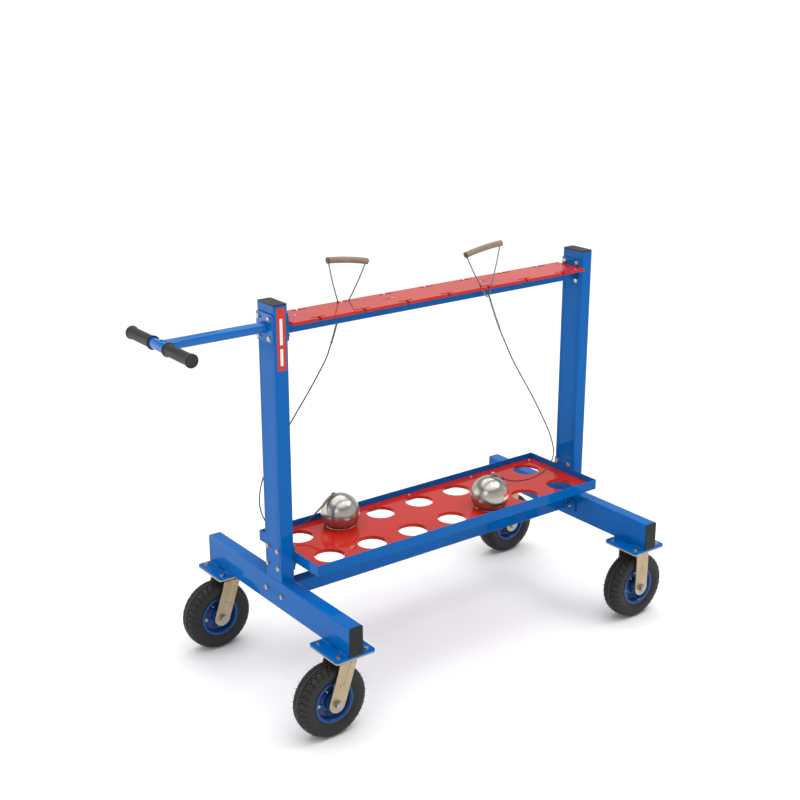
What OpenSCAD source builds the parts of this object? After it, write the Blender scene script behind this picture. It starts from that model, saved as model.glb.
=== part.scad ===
// Four-wheeled storage cart for throwing hammers. Each ball rests in a hole of the
// lower tray and each handle hangs in a T-shaped notch of the upper plate.
// +X points away from the push handle, +Y to the cart's left, +Z up, floor at Z = 0.

/* [Frame] */
// Length over the outer faces of the two end frames
frame_length = 1090; // [1000:10:1200]
// Length of each foot beam's tube
foot_length = 698; // [660:2:760]
// Height of the foot beams' top faces above the floor
foot_top = 315; // [313:1:317]
// Long side of the rectangular frame tube
tube_h = 80; // [79:1:81]
// Short side of the rectangular frame tube
tube_w = 40; // [38:1:42]
// Wall thickness of the frame tube
tube_wall = 3; // [2:0.5:4]
// Height of the uprights' tube ends above the floor
upright_top = 1067; // [1060:1:1080]

/* [Tray and upper plate] */
// Number of hammer places along each side
places = 7; // [6:1:7]
// Distance between neighbouring hammer places
place_pitch = 139; // [136:1:140]
// Diameter of the tray's ball holes
hole_d = 82; // [76:1:88]
// Distance of each row of holes from the centre line
row_y = 76; // [70:1:80]
// Thickness of the tray sheet
sheet_t = 10; // [9:1:11]
// Thickness of the upper plate
plate_t = 8; // [7:1:9]
// Width over the tray's angle frame
tray_width = 290; // [280:2:300]
// Width of the upper plate
plate_width = 114; // [112:1:120]
// Length of each notch's slit
slit_length = 43; // [42:1:48]
// Width of each notch's slit
slit_width = 5; // [5:0.5:6]

/* [Push handle] */
// Distance of the handle's cross tube from the end frame
handle_reach = 290; // [250:5:350]
// Width over the two grips
handle_width = 308; // [280:2:340]
// Outer diameter of the handle's tube
handle_d = 28; // [26:1:30]

/* [Casters] */
// Tyre diameter
tyre_d = 200; // [196:1:202]
// Tyre width
tyre_w = 60; // [56:1:62]
// Trail of the swivelling wheels behind their swivel axis
trail = 42; // [36:1:46]
// Distance of each wheel's middle from the centre line
wheel_y = 289; // [286:1:289]

/* [Hammers] */
// Ball diameter
ball_d = 110; // [104:1:116]
// Wire diameter
wire_d = 3.5; // [3:0.5:3.5]
// Length of the curved handgrip
grip_length = 128; // [120:1:140]
// Diameter of the handgrip's tube
grip_d = 17; // [14:1:18]
// Distance between the handle's two wire legs where they enter the grip
leg_span = 121; // [100:1:124]

/* [Hidden] */
$fn = 48;
skin = 0.05;              // clearance between pieces that turn or slide on each other
thin = 0.01;              // overlap that keeps cuts clean

// Frame
cap_t = 3;
tube_corner = 4;
handle_flange_r = 18;
frame_x = (handle_reach + handle_flange_r + tube_w / 2 - tyre_d / 2) / 2;
near_x = frame_x - (frame_length - tube_w) / 2;
far_x = frame_x + (frame_length - tube_w) / 2;
inner_x0 = near_x + tube_w / 2;
inner_x1 = far_x - tube_w / 2;
flange_t = 5;
flange_size = 74;
flange_corner = 6;
span_x0 = inner_x0 + flange_t;
span_x1 = inner_x1 - flange_t;
bolt_r = 4;
bolt_hole_r = 4.2;
bolt_offset = 25;
hex_r = 7.5;
head_t = 5;
nut_t = 6.5;
thread_out = 3;

low_beam_size = 40;
low_beam_z = 277;
low_flange_y = 120;
low_bolt_y = 38;

angle_size = 30;
angle_ledge = 26;
angle_t = 3;
tray_z = 363;
tray_flange_z = 378;
sheet_z = tray_z + angle_t;
sheet_gap = 0.5;
tray_screws = 5;
tray_screw_pitch = 237.5;
tray_screw_y = 129.5;
screw_r = 2.5;
screw_hole_r = 2.7;
screw_head_r = 4.3;
screw_head_t = 2.5;

bar_y = 35;
bar_z = 30;
plate_z = 1015;
top_flange_z = 1008;
plate_gap = 0.5;
plate_screws = 4;
plate_screw_pitch = 305.5;
stem_width = 8;
slit_y = 44;
notch_shift = -2;

// Push handle
grip_tube_r = 16;
grip_inner_y = 37;
grip_flange_t = 4;
grip_cap_t = 6;
cross_x = near_x - tube_w / 2 - handle_reach;
handle_r = handle_d / 2;

// Casters
axle_z = tyre_d / 2;
tyre_r = tyre_d / 2;
mount_x = 120;
mount_y = 126;
mount_corner = 8;
mount_z = 230;
mount_t = foot_top - tube_h - mount_z;
top_plate_t = 4;
mount_bolt_x = 42;
mount_bolt_y = 45;
fork_half = 38;
fork_t = 4;
leg_end_r = 24;
swivel_fork_top = 212;
fixed_fork_top = mount_z - top_plate_t;
leg_center = 38.5;
leg_half = 25;
race_r = 28;
race_bore = 14;
race_t = 4;
race_ball_r = 2.95;
race_pitch_r = 21.5;
race_balls = 14;
kingpin_r = 6;
axle_r = 6;
axle_head_r = 10.4;
axle_head_t = 8;
axle_nut_r = 11;
axle_nut_t = 10;
axle_out = 10.5;
sleeve_r = 10;
hub_half = 22;
rim_half = 26;
rim_r = 58;
seat_r = 50;
rim_bolt_r = 37;
rim_bolts = 3;
rim_bolt_angle = 74;
valve_angle = 119;
valve_y = -8;

// Hammers
ball_r = ball_d / 2;
ball_z = sheet_z + sheet_t + sqrt(ball_r * ball_r - hole_d * hole_d / 4) + skin;
spindle_r = 6;
spindle_depth = 21;
eye_height = 61;
eye_r = 2.5;
bore_gap = 0.1;
leg_r = 1.75;
grip_rise = 148;
grip_bow_r = 700;
wire_sides = 8;
rings_per_span = 3;

left_place = 1;
right_place = 4;
left_ball = [place_x(left_place), row_y, ball_z];
right_ball = [place_x(right_place), -row_y, ball_z];
left_spindle_tilt = 20;
left_spindle_turn = 165;
right_spindle_tilt = 13.6;
right_spindle_turn = 12;
left_apex = [-172.5, 44, 984];
right_apex = [258.5, -44, 980];
left_lean = 8.3;
right_lean = -8;

left_route = [
    left_apex, [-190, 46, 956], [-205, 49, 908], [-221, 53, 868], [-265, 60, 797], [-307, 65, 737],
    [-350, 70, 675], [-389, 74, 613], [-416, 76, 552], [-421, 76, 490], [-395, 76, 432],
    [-343, 76, 402], [-285, 76, 408], [-232, 77, 438], [-184, 81, 470],
];
right_route = [
    right_apex, [274, -45.5, 955], [289, -47, 920], [315, -50, 858], [350, -54, 790], [388, -58, 727],
    [426, -63, 663], [462, -67, 597], [489, -72, 538], [501, -75, 482], [478, -76, 442],
    [425, -76, 424], [360, -76, 428], [308, -76, 446], [267, -73, 472],
];

function place_x(i) = frame_x + (i - (places - 1) / 2) * place_pitch;
function corners(a, b) = [for (x = [-a, a], y = [-b, b]) [x, y]];
function flange_bolts(z) = [for (c = corners(bolt_offset, bolt_offset)) [c.x, z + c.y]];
function low_bolts() = [for (y = [-low_bolt_y, low_bolt_y]) [y, low_beam_z - 1]];
function tray_screw_points() = [
    for (i = [0:tray_screws - 1], y = [-tray_screw_y, tray_screw_y])
        [frame_x + 4 + (i - (tray_screws - 1) / 2) * tray_screw_pitch, y]
];
function plate_screw_points() = [
    for (i = [0:plate_screws - 1]) [frame_x + (i - (plate_screws - 1) / 2) * plate_screw_pitch, 0]
];

// Plain shapes -----------------------------------------------------------------

module block(low, high) {
    translate(low) cube(high - low);
}

module rounded_rect(w, h, r) {
    square([w - 2 * r, h], center = true);
    square([w, h - 2 * r], center = true);
    for (c = corners(w / 2 - r, h / 2 - r)) translate(c) circle(r);
}

module tube_section(w, h, wall, r) {
    difference() {
        rounded_rect(w, h, r);
        rounded_rect(w - 2 * wall, h - 2 * wall, max(r - wall, 0.5));
    }
}

// A cylinder along +X that starts at x, through the point [y, z]
module rod_x(x, p, r, length, sides = 48) {
    translate([x, p.x, p.y]) rotate([0, 90, 0]) cylinder(h = length, r = r, $fn = sides);
}

// A cylinder along +Y through the point [x, z], from y0 to y1
module rod_y(p, y0, y1, r, sides = 48) {
    translate([p.x, y1, p.y]) rotate([90, 0, 0]) cylinder(h = y1 - y0, r = r, $fn = sides);
}

module ring_y(p, y0, y1, r, bore) {
    difference() {
        rod_y(p, y0, y1, r);
        rod_y(p, y0 - thin, y1 + thin, bore);
    }
}

// Turns +Z onto the direction with this tilt and this turn about Z
module aim(tilt, turn) {
    rotate([0, tilt, turn]) children();
}

// Frame ------------------------------------------------------------------------

module foot_beam(x) {
    z = foot_top - tube_h / 2;
    difference() {
        translate([x, 0, z]) rotate([90, 0, 0]) linear_extrude(foot_length, center = true)
            tube_section(tube_w, tube_h, tube_wall, tube_corner);
        for (p = low_bolts()) rod_x(x - tube_w, p, bolt_hole_r, 2 * tube_w);
    }
}

module upright(x) {
    difference() {
        translate([x, 0, foot_top]) linear_extrude(upright_top - foot_top)
            tube_section(tube_w, tube_h, tube_wall, tube_corner);
        for (z = [tray_flange_z, top_flange_z], p = flange_bolts(z)) {
            rod_x(x - tube_w, p, bolt_hole_r, 2 * tube_w);
        }
    }
}

module handle_end_foot_beam() color("royalblue") foot_beam(near_x);
module far_end_foot_beam() color("royalblue") foot_beam(far_x);
module handle_end_upright() color("royalblue") upright(near_x);
module far_end_upright() color("royalblue") upright(far_x);

module end_cap() {
    plug = 12;
    fit = 0.3;
    linear_extrude(cap_t) rounded_rect(tube_w, tube_h, tube_corner);
    translate([0, 0, -plug]) linear_extrude(plug + thin)
        rounded_rect(tube_w - 2 * tube_wall - fit, tube_h - 2 * tube_wall - fit, 1.5);
}

module tube_end_caps() color("dimgray") {
    for (x = [near_x, far_x]) {
        translate([x, 0, upright_top]) end_cap();
        for (side = [0, 1]) mirror([0, side, 0])
            translate([x, foot_length / 2, foot_top - tube_h / 2]) rotate([-90, 0, 0]) end_cap();
    }
}

// One plate with its four bolt holes, centred over a caster
module caster_plate(x, y, z, t) {
    difference() {
        translate([x, y, z]) linear_extrude(t) rounded_rect(mount_x, mount_y, mount_corner);
        for (c = corners(mount_bolt_x, mount_bolt_y))
            translate([x + c.x, y + c.y, z - thin]) cylinder(h = t + 2 * thin, r = bolt_hole_r);
    }
}

module caster_mount_plates() color("royalblue") {
    for (x = [near_x, far_x], y = [-wheel_y, wheel_y]) caster_plate(x, y, mount_z, mount_t);
}

module flange(x, z, size_y, size_z, bolts) {
    difference() {
        translate([x, 0, z]) rotate([90, 0, 90]) linear_extrude(flange_t)
            rounded_rect(size_y, size_z, flange_corner);
        for (p = bolts) rod_x(x - thin, p, bolt_hole_r, flange_t + 2 * thin);
    }
}

module end_flanges(z) {
    for (x = [inner_x0, span_x1]) flange(x, z, flange_size, flange_size, flange_bolts(z));
}

module lower_beam() color("royalblue") {
    translate([span_x0, 0, low_beam_z]) rotate([90, 0, 90]) linear_extrude(span_x1 - span_x0)
        tube_section(low_beam_size, low_beam_size, tube_wall, tube_corner);
    for (x = [inner_x0, span_x1]) flange(x, low_beam_z - 1, low_flange_y, low_beam_size, low_bolts());
}

module tray_frame() color("royalblue") {
    wall_top = tray_z + angle_size;
    half = tray_width / 2;
    end_flanges(tray_flange_z);
    difference() {
        block([span_x0, -half, tray_z], [span_x1, half, wall_top]);
        block([span_x0 + angle_t, angle_t - half, sheet_z],
            [span_x1 - angle_t, half - angle_t, wall_top + 1]);
        block([span_x0 + angle_ledge, angle_ledge - half, tray_z - 1],
            [span_x1 - angle_ledge, half - angle_ledge, sheet_z + 1]);
        for (p = tray_screw_points())
            translate([p.x, p.y, tray_z - 1]) cylinder(h = angle_size, r = screw_hole_r);
    }
}

module tray_sheet() color("tomato") {
    inset = angle_t + sheet_gap;
    half = tray_width / 2 - inset;
    difference() {
        block([span_x0 + inset, -half, sheet_z], [span_x1 - inset, half, sheet_z + sheet_t]);
        for (i = [0:places - 1], y = [-row_y, row_y])
            translate([place_x(i), y, sheet_z - 1]) cylinder(h = sheet_t + 2, d = hole_d, $fn = 96);
        for (p = tray_screw_points())
            translate([p.x, p.y, sheet_z - 1]) cylinder(h = sheet_t + 2, r = screw_hole_r);
    }
}

module top_bar() color("royalblue") {
    bar_mid = plate_z - bar_z / 2;
    difference() {
        union() {
            translate([span_x0, 0, bar_mid]) rotate([90, 0, 90])
                linear_extrude(span_x1 - span_x0) tube_section(bar_y, bar_z, tube_wall, tube_corner);
            end_flanges(top_flange_z);
        }
        for (p = plate_screw_points())
            translate([p.x, p.y, bar_mid]) cylinder(h = bar_z, r = screw_hole_r);
    }
}

// A T-shaped notch cut in from the plate's edge at +Y
module notch(x) {
    edge = plate_width / 2;
    block([x - stem_width / 2, slit_y, plate_z - 1],
        [x + stem_width / 2, edge + 1, plate_z + plate_t + 1]);
    block([x - slit_length / 2, slit_y - slit_width / 2, plate_z - 1],
        [x + slit_length / 2, slit_y + slit_width / 2, plate_z + plate_t + 1]);
}

module top_plate() color("tomato") {
    half = plate_width / 2;
    difference() {
        block([span_x0 + plate_gap, -half, plate_z], [span_x1 - plate_gap, half, plate_z + plate_t]);
        for (i = [0:places - 1], side = [0, 1]) mirror([0, side, 0]) notch(place_x(i) + notch_shift);
        for (p = plate_screw_points())
            translate([p.x, p.y, plate_z - 1]) cylinder(h = plate_t + 2, r = screw_hole_r);
    }
}

// Push handle ------------------------------------------------------------------

module handle_bar() color("royalblue") {
    flange_x = inner_x0 - tube_w - flange_t;
    inner_r = handle_r - 2;
    half = handle_width / 2 - grip_cap_t;
    difference() {
        union() {
            flange(flange_x, top_flange_z, flange_size, flange_size, flange_bolts(top_flange_z));
            rod_x(cross_x, [0, top_flange_z], handle_r, flange_x - cross_x);
            rod_y([cross_x, top_flange_z], -half, half, handle_r);
        }
        rod_x(cross_x + handle_r, [0, top_flange_z], inner_r, flange_x - cross_x);
        rod_y([cross_x, top_flange_z], -half - 1, half + 1, inner_r);
    }
}

module grip() color("dimgray") {
    p = [cross_x, top_flange_z];
    end = handle_width / 2;
    difference() {
        union() {
            rod_y(p, grip_inner_y, grip_inner_y + grip_flange_t, handle_flange_r);
            rod_y(p, grip_inner_y, end - grip_cap_t, grip_tube_r);
            rod_y(p, end - grip_cap_t, end, handle_flange_r - 0.5);
        }
        rod_y(p, grip_inner_y - 1, end - grip_cap_t, handle_r + skin);
    }
}

module left_grip() grip();
module right_grip() mirror([0, 1, 0]) grip();

// Fasteners --------------------------------------------------------------------

// Every frame bolt: the x of the face under its head, its [y, z], and what it clamps
function frame_bolt_list() = concat(
    [for (p = flange_bolts(top_flange_z)) [near_x - tube_w / 2 - flange_t, p, tube_w + 2 * flange_t]],
    [for (p = flange_bolts(tray_flange_z)) [near_x - tube_w / 2, p, tube_w + flange_t]],
    [for (p = low_bolts()) [near_x - tube_w / 2, p, tube_w + flange_t]],
    [for (z = [top_flange_z, tray_flange_z], p = flange_bolts(z)) [span_x1, p, tube_w + flange_t]],
    [for (p = low_bolts()) [span_x1, p, tube_w + flange_t]]
);

module frame_bolts() color("silver") {
    for (b = frame_bolt_list()) {
        rod_x(b[0] - head_t, b[1], hex_r, head_t, sides = 6);
        rod_x(b[0] - thin, b[1], bolt_r, b[2] + nut_t + thread_out);
    }
}

module caster_bolts() color("silver") {
    grip_t = mount_t + top_plate_t;
    for (x = [near_x, far_x], y = [-wheel_y, wheel_y], c = corners(mount_bolt_x, mount_bolt_y)) {
        translate([x + c.x, y + c.y, mount_z + mount_t]) cylinder(h = head_t, r = hex_r, $fn = 6);
        translate([x + c.x, y + c.y, mount_z + mount_t - grip_t - nut_t - 2])
            cylinder(h = grip_t + nut_t + 2 + thin, r = bolt_r);
    }
}

module nut() {
    difference() {
        cylinder(h = nut_t, r = hex_r, $fn = 6);
        translate([0, 0, -1]) cylinder(h = nut_t + 2, r = bolt_r + skin);
    }
}

module lock_nuts() color("silver") {
    for (b = frame_bolt_list()) translate([b[0] + b[2], b[1].x, b[1].y]) rotate([0, 90, 0]) nut();
    for (x = [near_x, far_x], y = [-wheel_y, wheel_y], c = corners(mount_bolt_x, mount_bolt_y))
        translate([x + c.x, y + c.y, mount_z - top_plate_t - nut_t]) nut();
}

module screw(length) {
    cylinder(h = screw_head_t, r = screw_head_r);
    translate([0, 0, -length]) cylinder(h = length + thin, r = screw_r);
}

module sheet_screws() color("silver") {
    for (p = tray_screw_points()) translate([p.x, p.y, sheet_z + sheet_t]) screw(sheet_t + angle_t + 3);
    for (p = plate_screw_points()) translate([p.x, p.y, plate_z + plate_t]) screw(plate_t + 6);
}

// Casters ----------------------------------------------------------------------

module swivel_top_plate(y) color("goldenrod") {
    skirt_r = race_r + 0.5;
    nut_h = 6;
    pin_low = swivel_fork_top - fork_t - 0.2 - nut_h;
    caster_plate(near_x, y, mount_z - top_plate_t, top_plate_t);
    translate([near_x, y, 0]) {
        translate([0, 0, mount_z - top_plate_t - race_t]) difference() {
            cylinder(h = race_t + thin, r = race_r);
            translate([0, 0, -1]) cylinder(h = race_t, r = race_bore);
        }
        translate([0, 0, swivel_fork_top + 2]) difference() {
            cylinder(h = mount_z - top_plate_t - swivel_fork_top - 2 + thin, r = skirt_r + 2.5);
            translate([0, 0, -1]) cylinder(h = mount_z - top_plate_t - swivel_fork_top - 1, r = skirt_r);
        }
        translate([0, 0, pin_low]) cylinder(h = mount_z - top_plate_t - pin_low + thin, r = kingpin_r);
        translate([0, 0, pin_low]) cylinder(h = nut_h, r = 9, $fn = 6);
    }
}

// A pressed fork: an inverted U across the wheel, cut to the legs' outline
module fork(x, y, top, outline) {
    inner = fork_half - fork_t;
    round_r = 8;
    reach = 200;
    translate([x, y, axle_z]) difference() {
        intersection() {
            rotate([90, 0, 90]) linear_extrude(reach, center = true) difference() {
                union() {
                    translate([-fork_half, -60]) square([2 * fork_half, top - axle_z + 60 - round_r]);
                    translate([round_r - fork_half, top - axle_z - round_r - 1])
                        square([2 * (fork_half - round_r), round_r + 1]);
                    for (s = [-1, 1])
                        translate([s * (fork_half - round_r), top - axle_z - round_r]) circle(round_r);
                }
                translate([-inner, -61]) square([2 * inner, top - axle_z + 61 - round_r]);
                translate([round_r - fork_half, top - axle_z - round_r - 1])
                    square([2 * (fork_half - round_r), round_r + 1 - fork_t]);
                for (s = [-1, 1]) translate([s * (fork_half - round_r), top - axle_z - round_r])
                    circle(round_r - fork_t);
            }
            rotate([90, 0, 0]) linear_extrude(reach, center = true) union() {
                polygon(outline);
                circle(leg_end_r);
            }
        }
        rod_y([0, 0], -reach, reach, axle_r + 0.1);
    }
}

// Where the line from point p touches the leg's round end, on one side (+1 or -1)
function touch(p, side) = let (a = atan2(p.y, p.x) + side * acos(leg_end_r / norm(p)))
    leg_end_r * [cos(a), sin(a)];

module swivel_fork(y) color("tan") {
    top = swivel_fork_top - axle_z;
    left_top = [leg_center - leg_half, top + 1];
    right_top = [leg_center + leg_half, top + 1];
    difference() {
        fork(near_x - trail, y, swivel_fork_top,
            [left_top, right_top, touch(right_top, -1), touch(left_top, 1)]);
        translate([near_x, y, swivel_fork_top - 2 * fork_t])
            cylinder(h = 3 * fork_t, r = kingpin_r + skin);
    }
    translate([near_x, y, swivel_fork_top - thin]) difference() {
        cylinder(h = race_t + thin, r = race_r);
        translate([0, 0, -1]) cylinder(h = race_t + 2, r = race_bore);
    }
}

module race_ball_ring(y) color("silver") {
    mid = (swivel_fork_top + mount_z - top_plate_t) / 2;
    for (i = [0:race_balls - 1]) rotate_about([near_x, y, mid], 360 * i / race_balls)
        translate([race_pitch_r, 0, 0]) sphere(r = race_ball_r, $fn = 24);
}

module rotate_about(p, angle) {
    translate(p) rotate([0, 0, angle]) children();
}

module fixed_top_plate(y) color("goldenrod") {
    caster_plate(far_x, y, mount_z - top_plate_t, top_plate_t);
}

module fixed_fork(y) color("tan") {
    top = fixed_fork_top - axle_z + 1;
    fork(far_x, y, fixed_fork_top,
        [[-leg_end_r, 0], [leg_end_r, 0], [leg_end_r, top], [-leg_end_r, top]]);
}

module axle(x, y) color("gold") {
    p = [x, axle_z];
    inner = fork_half - fork_t;
    translate([0, y, 0]) {
        ring_y(p, -inner, inner, sleeve_r, axle_r + skin);
        rod_y(p, -fork_half - axle_out, fork_half, axle_r);
        rod_y(p, fork_half, fork_half + axle_head_t, axle_head_r, sides = 6);
        difference() {
            rod_y(p, -fork_half - axle_nut_t, -fork_half, axle_nut_r, sides = 6);
            rod_y(p, -fork_half - axle_nut_t - 1, -fork_half + 1, axle_r + skin);
        }
    }
}

// Wheels, drawn round their own centre with the axle along Y ---------------------

module at_wheel(front, side) {
    x = front ? near_x - trail : far_x;
    translate([x, side * wheel_y, axle_z]) children();
}

module rim_half() {
    wall = 3;
    hub_r = 21;
    rotate([90, 0, 0]) rotate_extrude($fn = 96) polygon([
        [17.6, 0.05], [seat_r, 0.05], [seat_r, rim_half - wall], [rim_r, rim_half - wall],
        [rim_r, rim_half], [seat_r - 1, rim_half], [seat_r - wall, rim_half - 2 * wall],
        [seat_r - wall, wall], [hub_r, wall], [hub_r, hub_half], [17.6, hub_half],
    ]);
}

module rim() color("steelblue") {
    difference() {
        union() {
            rim_half();
            mirror([0, 1, 0]) rim_half();
        }
        for (i = [0:rim_bolts - 1]) rotate([0, -(rim_bolt_angle + 360 * i / rim_bolts), 0])
            rod_y([rim_bolt_r, 0], -10, 10, 3.1);
        rotate([0, -valve_angle, 0])
            translate([seat_r - 8, valve_y, 0]) rotate([0, 90, 0]) cylinder(h = 12, r = 4.2);
    }
}

module tyre() color("dimgray") {
    half = tyre_w / 2;
    rotate([90, 0, 0]) rotate_extrude($fn = 96) polygon([
        [50.1, -22], [57, -22], [61, -26], [70, 0.4 - half], [80, -half], [88, 1.5 - half],
        [94, -25], [98, -17], [tyre_r, -8], [tyre_r, 8], [98, 17], [94, 25],
        [88, half - 1.5], [80, half], [70, half - 0.4], [61, 26],
        [57, 22], [50.1, 22], [50.1, 16], [62, 18], [72, 23], [82, 23], [90, 15], [92, 0],
        [90, -15], [82, -23], [72, -23], [62, -18], [50.1, -16],
    ]);
    rotate([90, 0, 0]) rotate_extrude($fn = 96) difference() {
        polygon([[50.5, 15], [62, 17], [72, 22], [81.5, 22], [89, 14.5], [91, 0],
            [89, -14.5], [81.5, -22], [72, -22], [62, -17], [50.5, -15]]);
        polygon([[53, 12], [63, 14], [72, 19.5], [80, 19.5], [86.5, 12.5], [88, 0],
            [86.5, -12.5], [80, -19.5], [72, -19.5], [63, -14], [53, -12]]);
    }
    rotate([0, -valve_angle, 0]) translate([33, valve_y, 0]) rotate([0, 90, 0]) cylinder(h = 18, r = 4);
}

module bearings() color("silver") {
    for (s = [0, 1]) mirror([0, s, 0]) rotate([90, 0, 0]) rotate_extrude() polygon([
        [sleeve_r + skin, 14], [17.6, 14], [17.6, hub_half], [15, hub_half], [15, hub_half - 0.6],
        [12.5, hub_half - 0.6], [12.5, hub_half], [sleeve_r + skin, hub_half],
    ]);
    ring_y([0, 0], -14, 14, 12.5, sleeve_r + 2 * skin);
}

module wheel_bolts() color("silver") {
    for (i = [0:rim_bolts - 1]) rotate([0, -(rim_bolt_angle + 360 * i / rim_bolts), 0]) {
        rod_y([rim_bolt_r, 0], -7, -3, 5.8, sides = 6);
        rod_y([rim_bolt_r, 0], -3 - thin, 10, 3);
        difference() {
            rod_y([rim_bolt_r, 0], 3, 8, 5.8, sides = 6);
            rod_y([rim_bolt_r, 0], 2, 9, 3 + skin);
        }
    }
}

// Hammers ----------------------------------------------------------------------

module hammer_ball(center, tilt, turn) color("silver") {
    translate(center) aim(tilt, turn) difference() {
        sphere(r = ball_r, $fn = 96);
        translate([0, 0, -spindle_depth - 1]) cylinder(h = 2 * ball_r, r = spindle_r + bore_gap);
    }
}

module hammer_spindle(center, tilt, turn) color("gray") {
    translate(center) aim(tilt, turn) difference() {
        translate([0, 0, -spindle_depth]) cylinder(h = spindle_depth + eye_height + 7, r = spindle_r);
        translate([0, 20, eye_height]) rotate([90, 0, 0]) cylinder(h = 40, r = eye_r);
    }
}

// A smooth curve through the route's points
function route_point(r, i, t) = let (
    n = len(r) - 1,
    a = r[max(i - 1, 0)], b = r[i], c = r[min(i + 1, n)], d = r[min(i + 2, n)]
) 0.5 * (2 * b + (c - a) * t + (2 * a - 5 * b + 4 * c - d) * t * t
    + (3 * b - a - 3 * c + d) * t * t * t);
function route_curve(r) = concat(
    [for (i = [0:len(r) - 2], k = [0:rings_per_span - 1]) route_point(r, i, k / rings_per_span)],
    [r[len(r) - 1]]
);
function unit(v) = v / norm(v);
function heading(c, i) = unit(c[min(i + 1, len(c) - 1)] - c[max(i - 1, 0)]);

module swept_wire(route) {
    curve = route_curve(route);
    points = [
        for (i = [0:len(curve) - 1], k = [0:wire_sides - 1]) let (
            ahead = heading(curve, i),
            side = unit(cross(ahead, [0, 1, 0])),
            up = cross(side, ahead),
            a = 360 * k / wire_sides
        ) curve[i] + wire_d / 2 * (cos(a) * side + sin(a) * up)
    ];
    last = (len(curve) - 1) * wire_sides;
    sides = [
        for (i = [0:len(curve) - 2], k = [0:wire_sides - 1]) let (n = (k + 1) % wire_sides)
            [i * wire_sides + k, i * wire_sides + n, (i + 1) * wire_sides + n, (i + 1) * wire_sides + k]
    ];
    caps = [[for (k = [wire_sides - 1:-1:0]) k], [for (k = [0:wire_sides - 1]) last + k]];
    polyhedron(points = points, faces = concat(sides, caps), convexity = 4);
}

module handle_legs(apex, lean) color("tan") {
    half = leg_span / 2;
    length = norm([half, grip_rise]);
    spread = atan2(half, grip_rise);
    translate(apex) {
        for (s = [-1, 1]) rotate([0, lean + s * spread, 0]) cylinder(h = length, r = leg_r);
        sphere(r = leg_r, $fn = 24);
    }
}

module handle_grip(apex, lean) color("tan") {
    half = grip_length / 2;
    bow = asin(half / grip_bow_r);
    drop = grip_bow_r * cos(bow);
    translate(apex) rotate([0, lean, 0]) translate([0, 0, grip_rise - drop]) rotate([90, 0, 0])
        rotate([0, 0, 90 - bow]) rotate_extrude(angle = 2 * bow, $fn = 120)
            translate([grip_bow_r, 0]) circle(grip_d / 2);
}

// Named pieces -----------------------------------------------------------------

module left_swivel_top_plate() swivel_top_plate(wheel_y);
module right_swivel_top_plate() swivel_top_plate(-wheel_y);
module left_fixed_top_plate() fixed_top_plate(wheel_y);
module right_fixed_top_plate() fixed_top_plate(-wheel_y);
module left_fixed_fork() fixed_fork(wheel_y);
module right_fixed_fork() fixed_fork(-wheel_y);
module left_fixed_axle() axle(far_x, wheel_y);
module right_fixed_axle() axle(far_x, -wheel_y);
module left_swivel_fork() swivel_fork(wheel_y);
module right_swivel_fork() swivel_fork(-wheel_y);
module left_swivel_axle() axle(near_x - trail, wheel_y);
module right_swivel_axle() axle(near_x - trail, -wheel_y);
module left_race_balls() race_ball_ring(wheel_y);
module right_race_balls() race_ball_ring(-wheel_y);

handle_end_foot_beam();
far_end_foot_beam();
handle_end_upright();
far_end_upright();
tube_end_caps();
caster_mount_plates();
lower_beam();
tray_frame();
tray_sheet();
top_bar();
top_plate();
handle_bar();
left_grip();
right_grip();
frame_bolts();
caster_bolts();
lock_nuts();
sheet_screws();
left_swivel_top_plate();
right_swivel_top_plate();
left_fixed_top_plate();
right_fixed_top_plate();
left_fixed_fork();
right_fixed_fork();
left_fixed_axle();
right_fixed_axle();
left_swivel_fork();
right_swivel_fork();
left_swivel_axle();
right_swivel_axle();
left_race_balls();
right_race_balls();

for (front = [true, false], side = [1, -1]) {
    wheel = str(side > 0 ? "left" : "right", front ? "_front" : "_rear");
    at_wheel(front, side) tyre();
    at_wheel(front, side) rim();
    at_wheel(front, side) bearings();
    at_wheel(front, side) wheel_bolts();
}

for (h = [
    ["left", left_ball, left_spindle_tilt, left_spindle_turn, left_apex, left_lean, left_route],
    ["right", right_ball, right_spindle_tilt, right_spindle_turn, right_apex, right_lean, right_route],
]) {
    hammer_ball(h[1], h[2], h[3]);
    hammer_spindle(h[1], h[2], h[3]);
    color("silver") swept_wire(h[6]);
    handle_legs(h[4], h[5]);
    handle_grip(h[4], h[5]);
}
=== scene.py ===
"""A wheeled storage cart for throwing hammers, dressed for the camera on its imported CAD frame."""
import math
import random

import bmesh
import bpy
from mathutils import Matrix, Vector


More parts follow.
